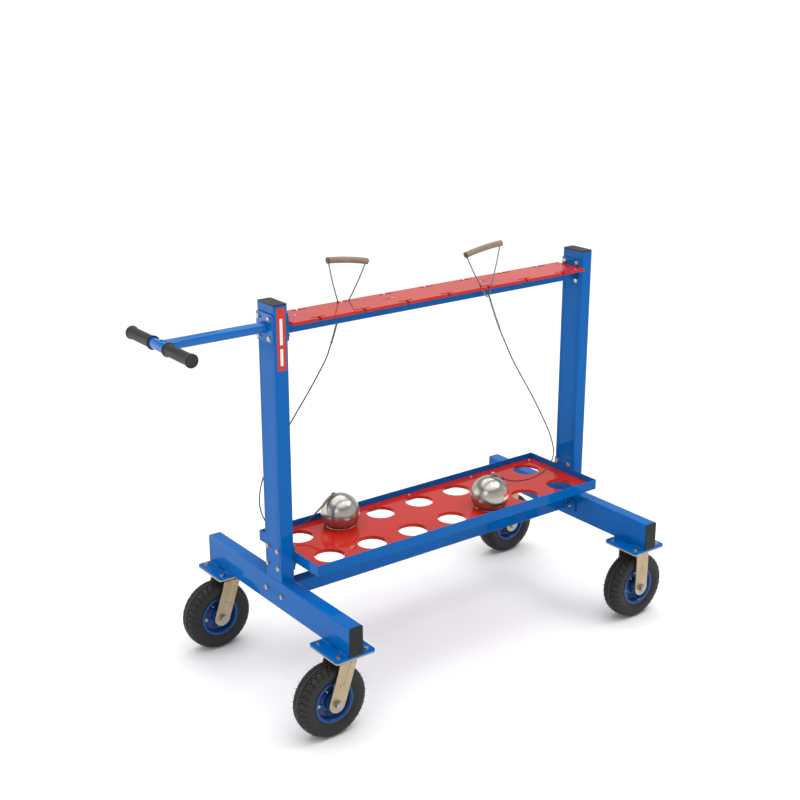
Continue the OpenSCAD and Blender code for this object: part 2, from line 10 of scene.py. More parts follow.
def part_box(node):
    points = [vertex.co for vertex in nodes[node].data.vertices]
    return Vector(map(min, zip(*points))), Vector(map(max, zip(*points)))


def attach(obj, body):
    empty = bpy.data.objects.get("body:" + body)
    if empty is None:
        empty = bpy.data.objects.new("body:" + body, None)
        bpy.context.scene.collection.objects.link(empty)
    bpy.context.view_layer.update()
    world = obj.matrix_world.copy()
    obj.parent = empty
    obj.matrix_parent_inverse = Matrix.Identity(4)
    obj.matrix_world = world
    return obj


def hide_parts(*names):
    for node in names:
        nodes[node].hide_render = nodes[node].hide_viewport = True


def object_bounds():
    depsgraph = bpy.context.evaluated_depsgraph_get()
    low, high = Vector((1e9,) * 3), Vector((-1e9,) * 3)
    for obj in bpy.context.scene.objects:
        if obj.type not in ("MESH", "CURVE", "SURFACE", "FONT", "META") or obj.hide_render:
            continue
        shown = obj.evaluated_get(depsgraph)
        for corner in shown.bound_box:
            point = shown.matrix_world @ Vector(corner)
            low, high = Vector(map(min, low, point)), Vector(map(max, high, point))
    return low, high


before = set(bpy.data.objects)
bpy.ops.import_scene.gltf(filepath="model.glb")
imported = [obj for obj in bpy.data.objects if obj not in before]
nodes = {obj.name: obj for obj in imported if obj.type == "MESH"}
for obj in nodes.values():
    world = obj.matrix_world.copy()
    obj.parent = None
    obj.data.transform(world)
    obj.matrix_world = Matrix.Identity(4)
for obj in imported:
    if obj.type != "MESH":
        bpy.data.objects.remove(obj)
cad_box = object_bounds()
MM = 0.001

# Places from the frame -------------------

SIDES = {"left": 1, "right": -1}
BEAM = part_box("handle_end_foot_beam")
FAR_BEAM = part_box("far_end_foot_beam")
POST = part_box("handle_end_upright")
FAR_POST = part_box("far_end_upright")
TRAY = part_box("tray_frame")
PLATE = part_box("top_plate")


def middle(node):
    low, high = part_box(node)
    return (Vector(low) + Vector(high)) / 2


NEAR_X = middle("handle_end_foot_beam").x
FAR_X = middle("far_end_foot_beam").x
WHEEL_Y = middle("left_rear_rim").y
TRAIL = 42 * MM     # from a swivel's axis back to its wheel's


# Camera and floor ------------------------

def make_camera():
    data = bpy.data.cameras.new("camera")
    data.sensor_width = 36.0
    data.lens = 60.33
    data.clip_end = 1000.0
    camera = bpy.data.objects.new("camera", data)
    camera.location = (-2.0983, -2.7840, 1.8953)
    camera.rotation_euler = (math.radians(90 - 18.495), 0.0, math.radians(53.16 - 90))
    bpy.context.scene.collection.objects.link(camera)
    bpy.context.scene.camera = camera


make_camera()


# Mesh helpers ----------------------------

def link(obj):
    bpy.context.scene.collection.objects.link(obj)
    return obj


def make_mesh(name, verts, faces, material, smooth_angle):
    mesh = bpy.data.meshes.new(name)
    mesh.from_pydata([tuple(v) for v in verts], [], faces)
    mesh.validate()
    bm = bmesh.new()
    bm.from_mesh(mesh)
    bmesh.ops.recalc_face_normals(bm, faces=bm.faces)
    bm.to_mesh(mesh)
    bm.free()
    mesh.shade_smooth()
    mesh.set_sharp_from_angle(angle=math.radians(smooth_angle))
    mesh.materials.append(material)
    return link(bpy.data.objects.new(name, mesh))


def dress(obj, body, slot, *replaced):
    """One new piece: what it rides on and what it stands for; slot, its finish, is not used."""
    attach(obj, body)
    if replaced:
        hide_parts(*replaced)
    return obj


def spoke(angle):
    """Unit direction in a wheel's plane; angle in radians, 0 along +X."""
    return Vector((math.cos(angle), 0, math.sin(angle)))


def along_y(distance):
    """A step along Y, in mm."""
    return Vector((0, distance, 0)) * MM


def basis(axis):
    """Two directions square to an axis."""
    axis = Vector(axis).normalized()
    side = axis.cross(Vector((0, 0, 1)) if abs(axis.z) < 0.9 else Vector((1, 0, 0))).normalized()
    return side, axis.cross(side).normalized()


def frames(path, closed=False):
    """Each point of a path with two directions square to it, carried along without twist."""
    count, side, out = len(path), None, []
    for i, p in enumerate(path):
        before = path[(i - 1) % count if closed else max(i - 1, 0)]
        after = path[(i + 1) % count if closed else min(i + 1, count - 1)]
        ahead = (after - before).normalized()
        if side is None:
            side, _ = basis(ahead)
        side = (side - ahead * side.dot(ahead)).normalized()
        out.append((p, side, ahead.cross(side)))
    return out


def full_turn(count):
    """Evenly spaced angles round a circle."""
    return [2 * math.pi * k / count for k in range(count)]


def circle(centre, across, up, radius, count):
    """Points round a centre, from across towards up; radius in metres."""
    return [centre + (across * math.cos(a) + up * math.sin(a)) * radius
            for a in full_turn(count)]


class Shape:
    """Vertices and faces gathered from several simple solids into one piece."""

    def __init__(self):
        self.verts = []
        self.faces = []

    def grid(self, rows, closed_ends=False):
        """Joins closed rows of points, each the same length, into a skin."""
        start = len(self.verts)
        count = len(rows[0])
        for row in rows:
            self.verts.extend(row)
        last = len(rows) if closed_ends else len(rows) - 1
        for i in range(last):
            a = start + i * count
            b = start + ((i + 1) % len(rows)) * count
            for k in range(count):
                n = (k + 1) % count
                self.faces.append((a + k, a + n, b + n, b + k))
        return start

    def cap_ends(self, first, rows, count):
        """Closes the first and the last row of a skin."""
        for start in (first, first + (rows - 1) * count):
            self.faces.append(tuple(range(start, start + count)))

    def lathe(self, origin, axis, profile, steps=48):
        """Turns (radius, height) points, in mm, about an axis and closes both ends."""
        side, up = basis(axis)
        axis = Vector(axis).normalized()
        rows = [circle(Vector(origin) + axis * (height * MM), side, up, radius * MM, steps)
                for radius, height in profile]
        self.cap_ends(self.grid(rows), len(rows), steps)

    def ring(self, origin, axis, profile, steps=96):
        """Turns a closed (radius, height) outline, in mm, about an axis."""
        side, up = basis(axis)
        axis = Vector(axis).normalized()
        rows = []
        for a in full_turn(steps):
            out = side * math.cos(a) + up * math.sin(a)
            rows.append([Vector(origin) + axis * (h * MM) + out * (r * MM) for r, h in profile])
        self.grid(rows, closed_ends=True)

    def sweep(self, path, radius, sides=10, closed=False):
        """A tube along points; radius is a number or a function of the share of the way."""
        rows = []
        count = len(path)
        for i, (p, side, up) in enumerate(frames(path, closed)):
            r = radius(i / max(count - 1, 1)) if callable(radius) else radius
            rows.append(circle(p, side, up, r, sides))
        first = self.grid(rows, closed_ends=closed)
        if not closed:
            self.cap_ends(first, count, sides)

    def place(self, name, material, smooth_angle, body, slot, *replaced):
        """Makes one piece of what was gathered, riding on a body."""
        obj = make_mesh(name, self.verts, self.faces, material, smooth_angle)
        return dress(obj, body, slot, *replaced)


def spline(points, per_span):
    """A smooth curve through points, the same one that the CAD wire follows."""
    points = [Vector(p) for p in points]
    last = len(points) - 1
    out = []
    for i in range(last):
        a, b = points[max(i - 1, 0)], points[i]
        c, d = points[i + 1], points[min(i + 2, last)]
        for k in range(per_span):
            t = k / per_span
            out.append(0.5 * (2 * b + (c - a) * t + (2 * a - 5 * b + 4 * c - d) * t ** 2
                              + (3 * b - a - 3 * c + d) * t ** 3))
    out.append(points[-1])
    return out


def path_length(points):
    return sum((b - a).length for a, b in zip(points, points[1:]))


def arc(centre, radius, start, end, count):
    """(x, y) points of an arc, angles in degrees."""
    return [
        (centre[0] + radius * math.cos(math.radians(start + (end - start) * k / count)),
         centre[1] + radius * math.sin(math.radians(start + (end - start) * k / count)))
        for k in range(count + 1)
    ]


# Materials -------------------------------

class Nodes:
    """Small helper that wires shader nodes by name."""

    def __init__(self, name):
        self.material = bpy.data.materials.new(name)
        self.material.use_nodes = True
        self.tree = self.material.node_tree
        self.shader = self.tree.nodes["Principled BSDF"]
        self.place = self.node("ShaderNodeTexCoord").outputs["Object"]

    def node(self, kind, **values):
        made = self.tree.nodes.new(kind)
        for key, value in values.items():
            if key in made.inputs:
                made.inputs[key].default_value = value
            else:
                setattr(made, key, value)
        return made

    def join(self, a, b):
        self.tree.links.new(a, b)

    def feed(self, socket, value):
        """Sets a number or a colour, or joins another node's output."""
        if isinstance(value, (int, float)):
            socket.default_value = value
        elif isinstance(value, tuple):
            socket.default_value = (*value, 1)
        else:
            self.join(value, socket)

    def finish(self, colour, rough, normal=None, **values):
        """Joins the three channels to the shader, sets the rest and gives the material."""
        for socket, source in (("Base Color", colour), ("Roughness", rough), ("Normal", normal)):
            if source is not None:
                self.join(source, self.shader.inputs[socket])
        for key, value in values.items():
            self.shader.inputs[key.replace("_", " ")].default_value = value
        return self.material

    def noise(self, scale, detail=3.0, rough=0.5, stretch=None, source=None):
        made = self.node("ShaderNodeTexNoise", Scale=scale, Detail=detail, Roughness=rough)
        place = source or self.place
        if stretch:
            mapping = self.node("ShaderNodeMapping", Scale=stretch)
            self.join(place, mapping.inputs["Vector"])
            place = mapping.outputs["Vector"]
        self.join(place, made.inputs["Vector"])
        return made.outputs["Fac"]

    def ramp(self, source, low, high, start=0.0, end=1.0):
        """Maps a 0..1 source onto a range of values or colours."""
        if isinstance(low, (int, float)):
            made = self.node("ShaderNodeMapRange",
                             **{"From Min": start, "From Max": end, "To Min": low, "To Max": high})
            self.join(source, made.inputs["Value"])
            return made.outputs["Result"]
        made = self.node("ShaderNodeValToRGB")
        for element, place, colour in zip(made.color_ramp.elements, (start, end), (low, high)):
            element.position = place
            element.color = (*colour, 1)
        self.join(source, made.inputs["Fac"])
        return made.outputs["Color"]

    def mix(self, share, a, b):
        made = self.node("ShaderNodeMix", data_type="RGBA")
        for index, value in ((0, share), (6, a), (7, b)):
            self.feed(made.inputs[index], value)
        return made.outputs[2]

    def math(self, operation, a, b=0.0):
        made = self.node("ShaderNodeMath", operation=operation)
        for index, value in enumerate((a, b)):
            self.feed(made.inputs[index], value)
        return made.outputs[0]

    def bump(self, height, distance, strength=1.0, after=None):
        made = self.node("ShaderNodeBump", Strength=strength, Distance=distance)
        self.join(height, made.inputs["Height"])
        if after is not None:
            self.join(after, made.inputs["Normal"])
        return made.outputs["Normal"]


def powder_coat(name, colour, deep, roughness=0.06, gloss=0.11):
    """Glossy powder coat: faint orange peel and clouded tone."""
    n = Nodes(name)
    cloud = n.noise(4.0, 4.0, 0.6)
    tone = n.mix(n.ramp(cloud, 0.0, 1.0, 0.35, 0.7), deep, colour)
    dust = n.noise(45.0, 5.0, 0.7)
    rough = n.ramp(dust, roughness - 0.03, roughness + 0.06, 0.35, 0.7)
    peel = n.noise(240.0, 2.0, 0.5)
    return n.finish(tone, rough, n.bump(peel, 0.00003, 0.5), Specular_IOR_Level=gloss)


def gloss_sheet():
    """Solid-coloured plastic sheet: mirror-like skin with faint waviness and hairline scuffs."""
    n = Nodes("red_sheet")
    cloud = n.noise(3.0, 3.0, 0.5)
    tone = n.mix(n.ramp(cloud, 0.0, 1.0, 0.3, 0.7), (0.455, 0.014, 0.0065), (0.505, 0.018, 0.008))
    scuff = n.noise(260.0, 3.0, 0.6, stretch=(1.0, 0.04, 1.0))
    fine = n.noise(900.0, 2.0, 0.5)
    rough = n.math("ADD", n.ramp(scuff, 0.02, 0.07, 0.45, 0.85), n.ramp(fine, 0.0, 0.02))
    wave = n.noise(9.0, 2.0, 0.4)
    skin = n.bump(fine, 0.00001, 0.4, n.bump(wave, 0.0008, 0.15))
    return n.finish(tone, rough, skin, Specular_IOR_Level=0.2)


def metal(name, colour, roughness, grain=(1, 1, 1), scale=300.0, patch=0.12, depth=0.00004, metallic=1.0):
    """Bare or plated metal: directional grain, patchy tone and uneven roughness."""
    n = Nodes(name)
    cloud = n.noise(35.0, 4.0, 0.6)
    dark = tuple(c * (1 - patch) for c in colour)
    light = tuple(min(1.0, c * (1 + patch)) for c in colour)
    tone = n.mix(n.ramp(cloud, 0.0, 1.0, 0.3, 0.7), dark, light)
    lines = n.noise(scale, 3.0, 0.6, stretch=grain)
    rough = n.ramp(lines, roughness * 0.75, roughness * 1.35, 0.3, 0.7)
    return n.finish(tone, rough, n.bump(lines, depth, 0.6), Metallic=metallic)


def yellow_zinc(name, colour, tint, roughness=0.36):
    """Yellow-passivated zinc: soft beige gold with a faint iridescent cloud and draw marks."""
    n = Nodes(name)
    cloud = n.noise(18.0, 4.0, 0.65)
    tone = n.mix(n.ramp(cloud, 0.0, 1.0, 0.35, 0.68), colour, tint)
    draw = n.noise(240.0, 3.0, 0.6, stretch=(1.0, 1.0, 0.06))
    rough = n.ramp(draw, roughness - 0.06, roughness + 0.1, 0.3, 0.7)
    grit = n.noise(1400.0, 2.0, 0.5)
    skin = n.bump(grit, 0.00002, 0.5, n.bump(draw, 0.00005, 0.4))
    return n.finish(tone, rough, skin, Metallic=0.85, IOR=1.5)


def dark_plastic(name, colour, roughness, grain=1500.0, depth=0.00005, gloss=0.3):
    """Moulded plastic or rubber: spark-eroded grain and greyish handling marks."""
    n = Nodes(name)
    cloud = n.noise(25.0, 5.0, 0.65)
    pale = tuple(c * 1.7 + 0.004 for c in colour)
    tone = n.mix(n.ramp(cloud, 0.0, 1.0, 0.4, 0.75), colour, pale)
    grit = n.noise(grain, 2.0, 0.6)
    rough = n.ramp(cloud, roughness - 0.05, roughness + 0.1, 0.3, 0.7)
    return n.finish(tone, rough, n.bump(grit, depth, 0.7), Specular_IOR_Level=gloss)


def tyre_rubber():
    """Moulded tyre rubber: a faintly clouded tone, with painted shade that darkens it to near black down in
    the tread's grooves.
    """
    n = Nodes("tyre_rubber")
    cloud = n.noise(30.0, 5.0, 0.7)
    tone = n.mix(n.ramp(cloud, 0.0, 1.0, 0.35, 0.75), (0.013, 0.013, 0.013), (0.021, 0.021, 0.020))
    # The cut attribute is the mask of the painted shade: the rubber goes near black down in the grooves.
    cut = n.node("ShaderNodeAttribute", attribute_name="cut").outputs["Fac"]
    grit = n.noise(1200.0, 3.0, 0.6)
    return n.finish(n.mix(cut, tone, (0.002, 0.002, 0.002)), n.ramp(cloud, 0.46, 0.6, 0.3, 0.7),
                    n.bump(grit, 0.00005, 0.5), Specular_IOR_Level=0.3)


def turned_steel(name, centre, axis):
    """Lathe-turned ball: fine rings about its own axis and a faintly uneven tone."""
    n = Nodes(name)
    offset = n.node("ShaderNodeVectorMath", operation="SUBTRACT")
    offset.inputs[1].default_value = centre
    n.join(n.place, offset.inputs[0])
    along = n.node("ShaderNodeVectorMath", operation="DOT_PRODUCT")
    along.inputs[1].default_value = axis
    n.join(offset.outputs["Vector"], along.inputs[0])
    height = n.node("ShaderNodeCombineXYZ")
    n.join(along.outputs["Value"], height.inputs["Z"])
    rings = n.noise(900.0, 4.0, 0.7, source=height.outputs["Vector"])
    stain = n.noise(14.0, 3.0, 0.5)
    tone = n.math("ADD", n.math("MULTIPLY", rings, 0.4), n.math("MULTIPLY", stain, 0.6))
    colour = n.ramp(tone, (0.40, 0.385, 0.345), (0.47, 0.455, 0.41), 0.35, 0.65)
    rough = n.ramp(rings, 0.22, 0.31, 0.35, 0.65)
    return n.finish(colour, rough, n.bump(rings, 0.00001, 0.4), Metallic=0.95)


def band(n, coordinate, middle_at, half):
    """1 within half of a place along a coordinate, 0 elsewhere."""
    off = n.math("ABSOLUTE", n.math("SUBTRACT", coordinate, middle_at))
    return n.math("LESS_THAN", off, half)


def vinyl(name, red, pale, white_areas, grain, roughness, depth, gloss=0.5):
    """Printed vinyl without lettering; white_areas(nodes, x, z) is 1 where it is white."""
    n = Nodes(name)
    parts = n.node("ShaderNodeSeparateXYZ")
    n.join(n.place, parts.inputs[0])
    white = white_areas(n, parts.outputs[0], parts.outputs[2])
    speck = n.noise(grain, 3.0, 0.6)
    return n.finish(n.mix(white, red, pale), n.ramp(speck, *roughness), n.bump(speck, depth, 0.4),
                    Specular_IOR_Level=gloss)


def two_bars(n, x, z):
    """A long and a short upright bar down the middle of the post's label."""
    both = n.math("ADD", band(n, z, 1.000, 0.034), band(n, z, 0.934, 0.022))
    return n.math("MULTIPLY", band(n, x, NEAR_X, 0.0042), both)


BLUE = powder_coat("blue_paint", (0.0014, 0.117, 0.415), (0.0014, 0.108, 0.392))
# The handle tube has the frame's blue coat with a higher gloss, its colour made a little lighter as a
# painted sheen.
HANDLE_BLUE_PAINTED_SHEEN = powder_coat("handle_paint_painted_sheen", (0.0014, 0.128, 0.440), (0.0014, 0.120, 0.420), 0.06, 0.30)
RIM_BLUE = powder_coat("rim_paint", (0.006, 0.060, 0.230), (0.004, 0.045, 0.185), 0.22, 0.35)
RED = gloss_sheet()
ZINC = metal("zinc_plate", (0.42, 0.40, 0.36), 0.22, scale=420.0)
NUT_ZINC = metal("axle_zinc", (0.36, 0.37, 0.38), 0.3, scale=420.0)
GOLD = yellow_zinc("yellow_zinc", (0.41, 0.32, 0.20), (0.47, 0.385, 0.265), 0.3)
CAP_BLACK = dark_plastic("black_plastic", (0.006, 0.006, 0.006), 0.4, gloss=0.25)
GRIP_BLACK = dark_plastic("grip_rubber", (0.016, 0.016, 0.016), 0.5, 900.0, 0.00006)
TYRE = tyre_rubber()
WIRE = metal("wire_steel", (0.055, 0.052, 0.05), 0.32, grain=(0.05, 0.05, 0.05), scale=900.0)
# The wound ends are the same wire as wire_steel, given a much lighter colour as a painted highlight on the
# strands against the dark core.
TWIST_PAINTED_HIGHLIGHT = metal("twisted_wire_painted_highlight", (0.24, 0.23, 0.22), 0.22, scale=900.0)
LEG_STEEL = metal("leg_steel", (0.22, 0.21, 0.20), 0.3, scale=900.0)
SPINDLE_STEEL = metal("spindle_steel", (0.45, 0.44, 0.41), 0.26, scale=600.0)
BUSH_STEEL = metal("bush_steel", (0.16, 0.155, 0.145), 0.36, scale=600.0)
BRONZE = metal("grip_bronze", (0.24, 0.18, 0.115), 0.6, grain=(0.1, 1, 1), scale=500.0, metallic=0.0)
BRONZE_DARK = metal("grip_rim_bronze", (0.10, 0.055, 0.03), 0.45, scale=500.0, metallic=0.0)


# CAD nodes that keep their shape ---------

def soften(node, width, material):
    """Rounds a CAD node's edges and gives it its finish."""
    obj = nodes[node]
    if not obj.material_slots:
        obj.data.materials.append(material)
    for slot in obj.material_slots:
        slot.material = material
    weld = obj.modifiers.new("weld", "WELD")
    weld.merge_threshold = 0.00001
    bevel = obj.modifiers.new("bevel", "BEVEL")
    bevel.width = width
    bevel.segments = 2
    bevel.limit_method = "ANGLE"
    bevel.angle_limit = math.radians(40)
    bevel.harden_normals = True
    bevel.miter_outer = "MITER_ARC"


FINISHES = (
    (0.0006, BLUE, ("handle_end_foot_beam", "far_end_foot_beam", "handle_end_upright", "far_end_upright")),
    (0.0007, BLUE, ("lower_beam", "tray_frame", "top_bar", "caster_mount_plates")),
    (0.0007, HANDLE_BLUE_PAINTED_SHEEN, ("handle_bar",)),
    (0.0008, RED, ("tray_sheet", "top_plate")),
    (0.0012, CAP_BLACK, ("tube_end_caps",)),
    (0.0005, GOLD, [f"{side}_{kind}_top_plate" for side in SIDES for kind in ("swivel", "fixed")]),
    (0.0001, ZINC, [f"{side}_race_balls" for side in SIDES]),
    (0.0003, ZINC, [f"{side}_{end}_bearings" for side in SIDES for end in ("front", "rear")]),
)
for width, material, names in FINISHES:
    for name in names:
        soften(name, width, material)


# Hammer wires ----------------------------

LEFT_ROUTE = [
    (-176, 44, 995), (-187, 46, 965), (-196, 47.5, 936), (-207, 50, 903), (-221, 53, 868), (-265, 60, 797),
    (-307, 65, 737), (-350, 70, 675), (-389, 74, 613), (-416, 76, 552), (-421, 76, 490), (-395, 76, 432),
    (-343, 76, 402), (-285, 76, 408), (-232, 77, 438), (-184, 81, 470),
]
RIGHT_ROUTE = [
    (262, -44, 993), (275, -45.5, 956), (288, -47, 922), (304.5, -49, 882), (325, -51, 840),
    (350, -54, 790), (388, -58, 727),
    (426, -63, 663), (462, -67, 597), (489, -72, 538), (501, -75, 482), (478, -76, 442),
    (425, -76, 424), (360, -76, 428), (308, -76, 446), (267, -73, 472),
]
WIRE_D = 0.0035


def hammer_wire(side, route):
    points = spline([Vector(p) * MM for p in route], 6)
    data = bpy.data.curves.new(f"{side}_wire", "CURVE")
    data.dimensions = "3D"
    line = data.splines.new("POLY")
    line.points.add(len(points) - 1)
    for target, p in zip(line.points, points):
        target.co = (*p, 1)
    data.bevel_depth = WIRE_D / 2
    data.bevel_resolution = 4
    data.use_fill_caps = True
    data.materials.append(WIRE)
    obj = link(bpy.data.objects.new(f"{side}_wire", data))
    dress(obj, f"{side}_hammer", "wire_steel", f"{side}_hammer_wire")
    return points


WIRES = {"left": hammer_wire("left", LEFT_ROUTE), "right": hammer_wire("right", RIGHT_ROUTE)}

# Wheels ----------------------------------

TYRE_OUTLINE = [(50.2, 16.0), (50.2, 22.3), (57.0, 22.9), (61.5, 25.6), (70.0, 29.4), (80.0, 29.9),
                (87.5, 28.6), (93.0, 25.4), (96.8, 19.6), (99.0, 11.5), (99.8, 4.0)]
LUGS = 34
LUG_STEPS = 16
GROOVE_DEPTH = 2.6
RIB_EDGE = 6.2      # distance from the crown to the grooves beside the centre rib
SPLIT_END = 19.0    # where the short slanted cuts meet the next cross groove
TREAD_END = 38.0    # where the cross grooves run out on the shoulder


def resample(points, spacing):
    """Points along a polyline at an even spacing, ends kept."""
    points = [Vector(p) for p in points]
    total = path_length(points)
    count = max(1, round(total / spacing))
    out, reach, i = [points[0]], 0.0, 0
    for k in range(1, count):
        want = total * k / count
        while reach + (points[i + 1] - points[i]).length < want:
            reach += (points[i + 1] - points[i]).length
            i += 1
        out.append(points[i].lerp(points[i + 1], (want - reach) / (points[i + 1] - points[i]).length))
    return out + [points[-1]]


def trough(distance, width):
    """1 in a groove's bed, 0 outside it, with sloping walls."""
    return max(0.0, min(1.0, 1.9 - abs(distance) / (width / 2) * 1.35))


def cross_shift(v):
    """How far a cross groove has swung round, in lugs, at a distance v from the crown."""
    if v < SPLIT_END:
        return 0.5 * math.sin(math.pi / 2 * (v - RIB_EDGE) / (SPLIT_END - RIB_EDGE))
    return 0.5 - 0.22 * ((v - SPLIT_END) / (TREAD_END - SPLIT_END)) ** 1.3


def from_whole(x):
    """Distance from the nearest whole number."""
    return abs(x - round(x))


def tread_cut(turn, v):
    """How deep the tread is cut, 0 to 1, at a turn in lugs and a distance v from the crown in mm."""
    depth = trough(v - RIB_EDGE, 2.0)
    lug = 2 * math.pi * 97 / LUGS
    if RIB_EDGE < v < TREAD_END:
        across = turn + cross_shift(v)
        fade = min(1.0, (TREAD_END - v) / 7.0)
        depth = max(depth, trough(from_whole(across) * lug, 2.1) * fade)
        if v < SPLIT_END:
            slant = across - (v - RIB_EDGE) / (SPLIT_END - RIB_EDGE)
            depth = max(depth, trough(from_whole(slant) * lug * 0.62, 1.8))
    return depth


def tyre_rows():
    """Outline of the tyre from bead to bead, as (radius, y, distance from the crown)."""
    curve = [Vector((50.2, 16.0, 0)), Vector((50.2, 22.3, 0))]
    curve += spline([Vector((r, y, 0)) for r, y in TYRE_OUTLINE[2:]], 6)
    fine = resample(curve, 1.0)
    total, reach, half = path_length(curve), 0.0, []
    for i, p in enumerate(fine):
        reach += (p - fine[i - 1]).length if i else 0.0
        v = total - reach + TYRE_OUTLINE[-1][1]
        if v < TREAD_END + 2 or i % 3 == 0:
            half.append((p.x, p.y, v))
    return [(r, -y, v) for r, y, v in half] + [(r, y, v) for r, y, v in reversed(half)]


def make_tyre(name, centre, body, replaced):
    """Tyre with its tread cut in as real grooves; the cut depth is kept as the mask of the rubber's painted
    groove shade.
    """
    profile = tyre_rows()
    shape, groove_shade_mask, rows = Shape(), [], []
    for k in range(LUGS * LUG_STEPS):
        a = 2 * math.pi * k / (LUGS * LUG_STEPS)
        out = spoke(a)
        row = []
        for r, y, v in profile:
            turn = k / LUG_STEPS + (0.5 if y > 0 else 0.0)
            cut = tread_cut(turn, v) if v < TREAD_END else 0.0
            lean = min(1.0, max(0.0, v - 14) / 24) * 0.7
            sink = GROOVE_DEPTH * cut
            row.append(centre + (out * (r - sink * (1 - lean))
                                 + Vector((0, y - math.copysign(sink * lean, y), 0))) * MM)
            groove_shade_mask.append(cut)
        for y in (15.0, -15.0):
            row.append(centre + (out * 51.0 + Vector((0, y, 0))) * MM)
            groove_shade_mask.append(0.0)
        rows.append(row)
    shape.grid(rows, closed_ends=True)
    for y in (-1, 1):
        for r, swell in ((73.0, 0.55), (84.5, 0.4)):
            lift = 29.75 if r < 80 else 29.2
            shape.ring(centre, (0, 1, 0), [
                (r + dr, y * (lift + dy))
                for dr, dy in ((-0.8, -0.5), (-0.4, swell - 0.4), (0.4, swell - 0.4), (0.8, -0.5))], 144)
    obj = shape.place(name, TYRE, 50, body, "tyre_rubber", replaced)
    # Cut depth per point, kept as the mask for the painted shade in the grooves.
    depth = obj.data.attributes.new("cut", "FLOAT", "POINT")
    for i, cut in enumerate(groove_shade_mask):
        depth.data[i].value = cut


def make_vent_hairs(name, centre, body, seed):
    """Short rubber hairs that the mould's vents leave along both shoulders of a new tyre."""
    rng = random.Random(seed)
    shape = Shape()
    count = 34
    far_x = cad_box[1][0]
    for y in (-23.5, 23.5):
        for k in range(count):
            a = 2 * math.pi * (k + 0.25) / count
            out = spoke(a)
            foot = centre + (out * 93.5 + Vector((0, y, 0))) * MM
            lean = Vector((rng.uniform(-0.25, 0.25), math.copysign(rng.uniform(0.1, 0.4), y),
                           rng.uniform(-0.2, 0.2)))
            tip = foot + (out + lean).normalized() * rng.uniform(7.0, 8.4) * MM
            if tip.z > 0.001 and tip.x < far_x - 0.0005:
                shape.sweep([foot, foot.lerp(tip, 0.5), tip], lambda t: (0.5 - 0.25 * t) * MM, 6)
    shape.place(name, TYRE, 60, body, "tyre_rubber")


RIM_FACE = [
    (17.6, 1.0), (17.6, 22.0), (20.4, 22.0), (21.0, 21.5), (21.3, 9.0), (22.2, 6.2), (24.4, 4.6),
    (28.0, 4.0), (29.6, 4.7), (31.0, 5.0), (32.4, 4.7), (34.0, 4.0), (43.0, 4.0), (45.4, 5.0), (46.8, 7.4),
    (47.3, 12.0), (47.8, 19.0), (48.6, 21.6), (49.6, 23.0), (50.6, 24.6), (52.2, 25.6), (54.6, 26.0),
    (57.0, 25.7), (57.9, 25.0), (58.0, 24.0), (57.4, 23.3), (52.0, 23.1), (50.4, 22.3), (50.0, 20.0),
    (50.0, 1.0)]


def make_rim(name, centre, body, replaced):
    shape = Shape()
    for flip in (1, -1):
        shape.ring(centre, (0, flip, 0), RIM_FACE, 144)
    # six pressed stiffening ribs on each disc
    for flip in (1, -1):
        for k in range(6):
            a = math.radians(14 + 60 * k)
            out = spoke(a)
            path = [centre + (out * r + Vector((0, flip * h, 0))) * MM
                    for r, h in ((24.5, 3.4), (28, 4.6), (34, 4.9), (40, 4.7), (44, 3.6))]
            shape.sweep(path, lambda t: (1.6 + 0.8 * math.sin(math.pi * t)) * MM, 10)
    shape.place(name, RIM_BLUE, 30, body, "rim_paint", replaced)


def add_hex(shape, origin, axis, across_flats, height, turn=0.0, chamfer=None):
    """Hex prism, in mm, whose outer face is rounded off at the corners."""
    axis = Vector(axis).normalized()
    side, up = basis(axis)
    c, s = math.cos(turn), math.sin(turn)
    side, up = side * c + up * s, up * c - side * s
    flat, high = across_flats / 2 * MM, height * MM
    chamfer = (chamfer or height * 0.22) * MM
    corner = across_flats * MM / math.sqrt(3)
    low = flat / corner
    rows = []
    for limit, level in ((1.0, 0.0), (1.0, high - chamfer), ((1.0 + low) / 2 + 0.02, high - chamfer * 0.4),
                         (low * 0.98, high)):
        row = []
        for a in full_turn(36):
            r = min(flat / math.cos((a % (math.pi / 3)) - math.pi / 6), corner * limit)
            row.append(Vector(origin) + axis * level + (side * math.cos(a) + up * math.sin(a)) * r)
        rows.append(row)
    shape.cap_ends(shape.grid(rows), 4, 36)


def add_washer(shape, origin, axis, radius, bore, height):
    shape.ring(Vector(origin), axis, [(bore, 0), (radius, 0), (radius, height * 0.75),
                                      (radius - height * 0.3, height), (bore, height)], 40)


def add_bolt_head(shape, origin, axis, rng):
    """Washer, hex head with its forged dish and the rim round it."""
    axis = Vector(axis).normalized()
    add_washer(shape, origin, axis, 7.4, 3.9, 1.3)
    seat = Vector(origin) + axis * 1.3 * MM
    add_hex(shape, seat, axis, 12.4, 3.5, rng.uniform(0, math.pi / 3))
    shape.ring(seat + axis * 3.4 * MM, axis, [(3.6, -0.3), (5.4, -0.3), (5.2, 0.2), (3.9, 0.2)], 32)


def add_nut(shape, origin, axis, rng, tail):
    """Nylon-ring lock nut with the bolt's rounded end and two threads showing."""
    axis = Vector(axis).normalized()
    seat = Vector(origin)
    add_hex(shape, seat, axis, 12.6, 5.0, rng.uniform(0, math.pi / 3))
    shape.lathe(seat, axis, [(5.6, 4.4), (5.6, 5.8), (5.0, 6.4), (4.1, 6.4)], 36)
    rows = [(3.9, 6.0)]
    for k in range(int(tail / 0.6)):
        rows.append((3.95 if k % 2 == 0 else 3.5, 6.5 + 0.6 * k))
    rows += [(3.2, 6.5 + tail), (2.0, 6.6 + tail), (0.01, 6.65 + tail)]
    shape.lathe(seat, axis, rows, 32)


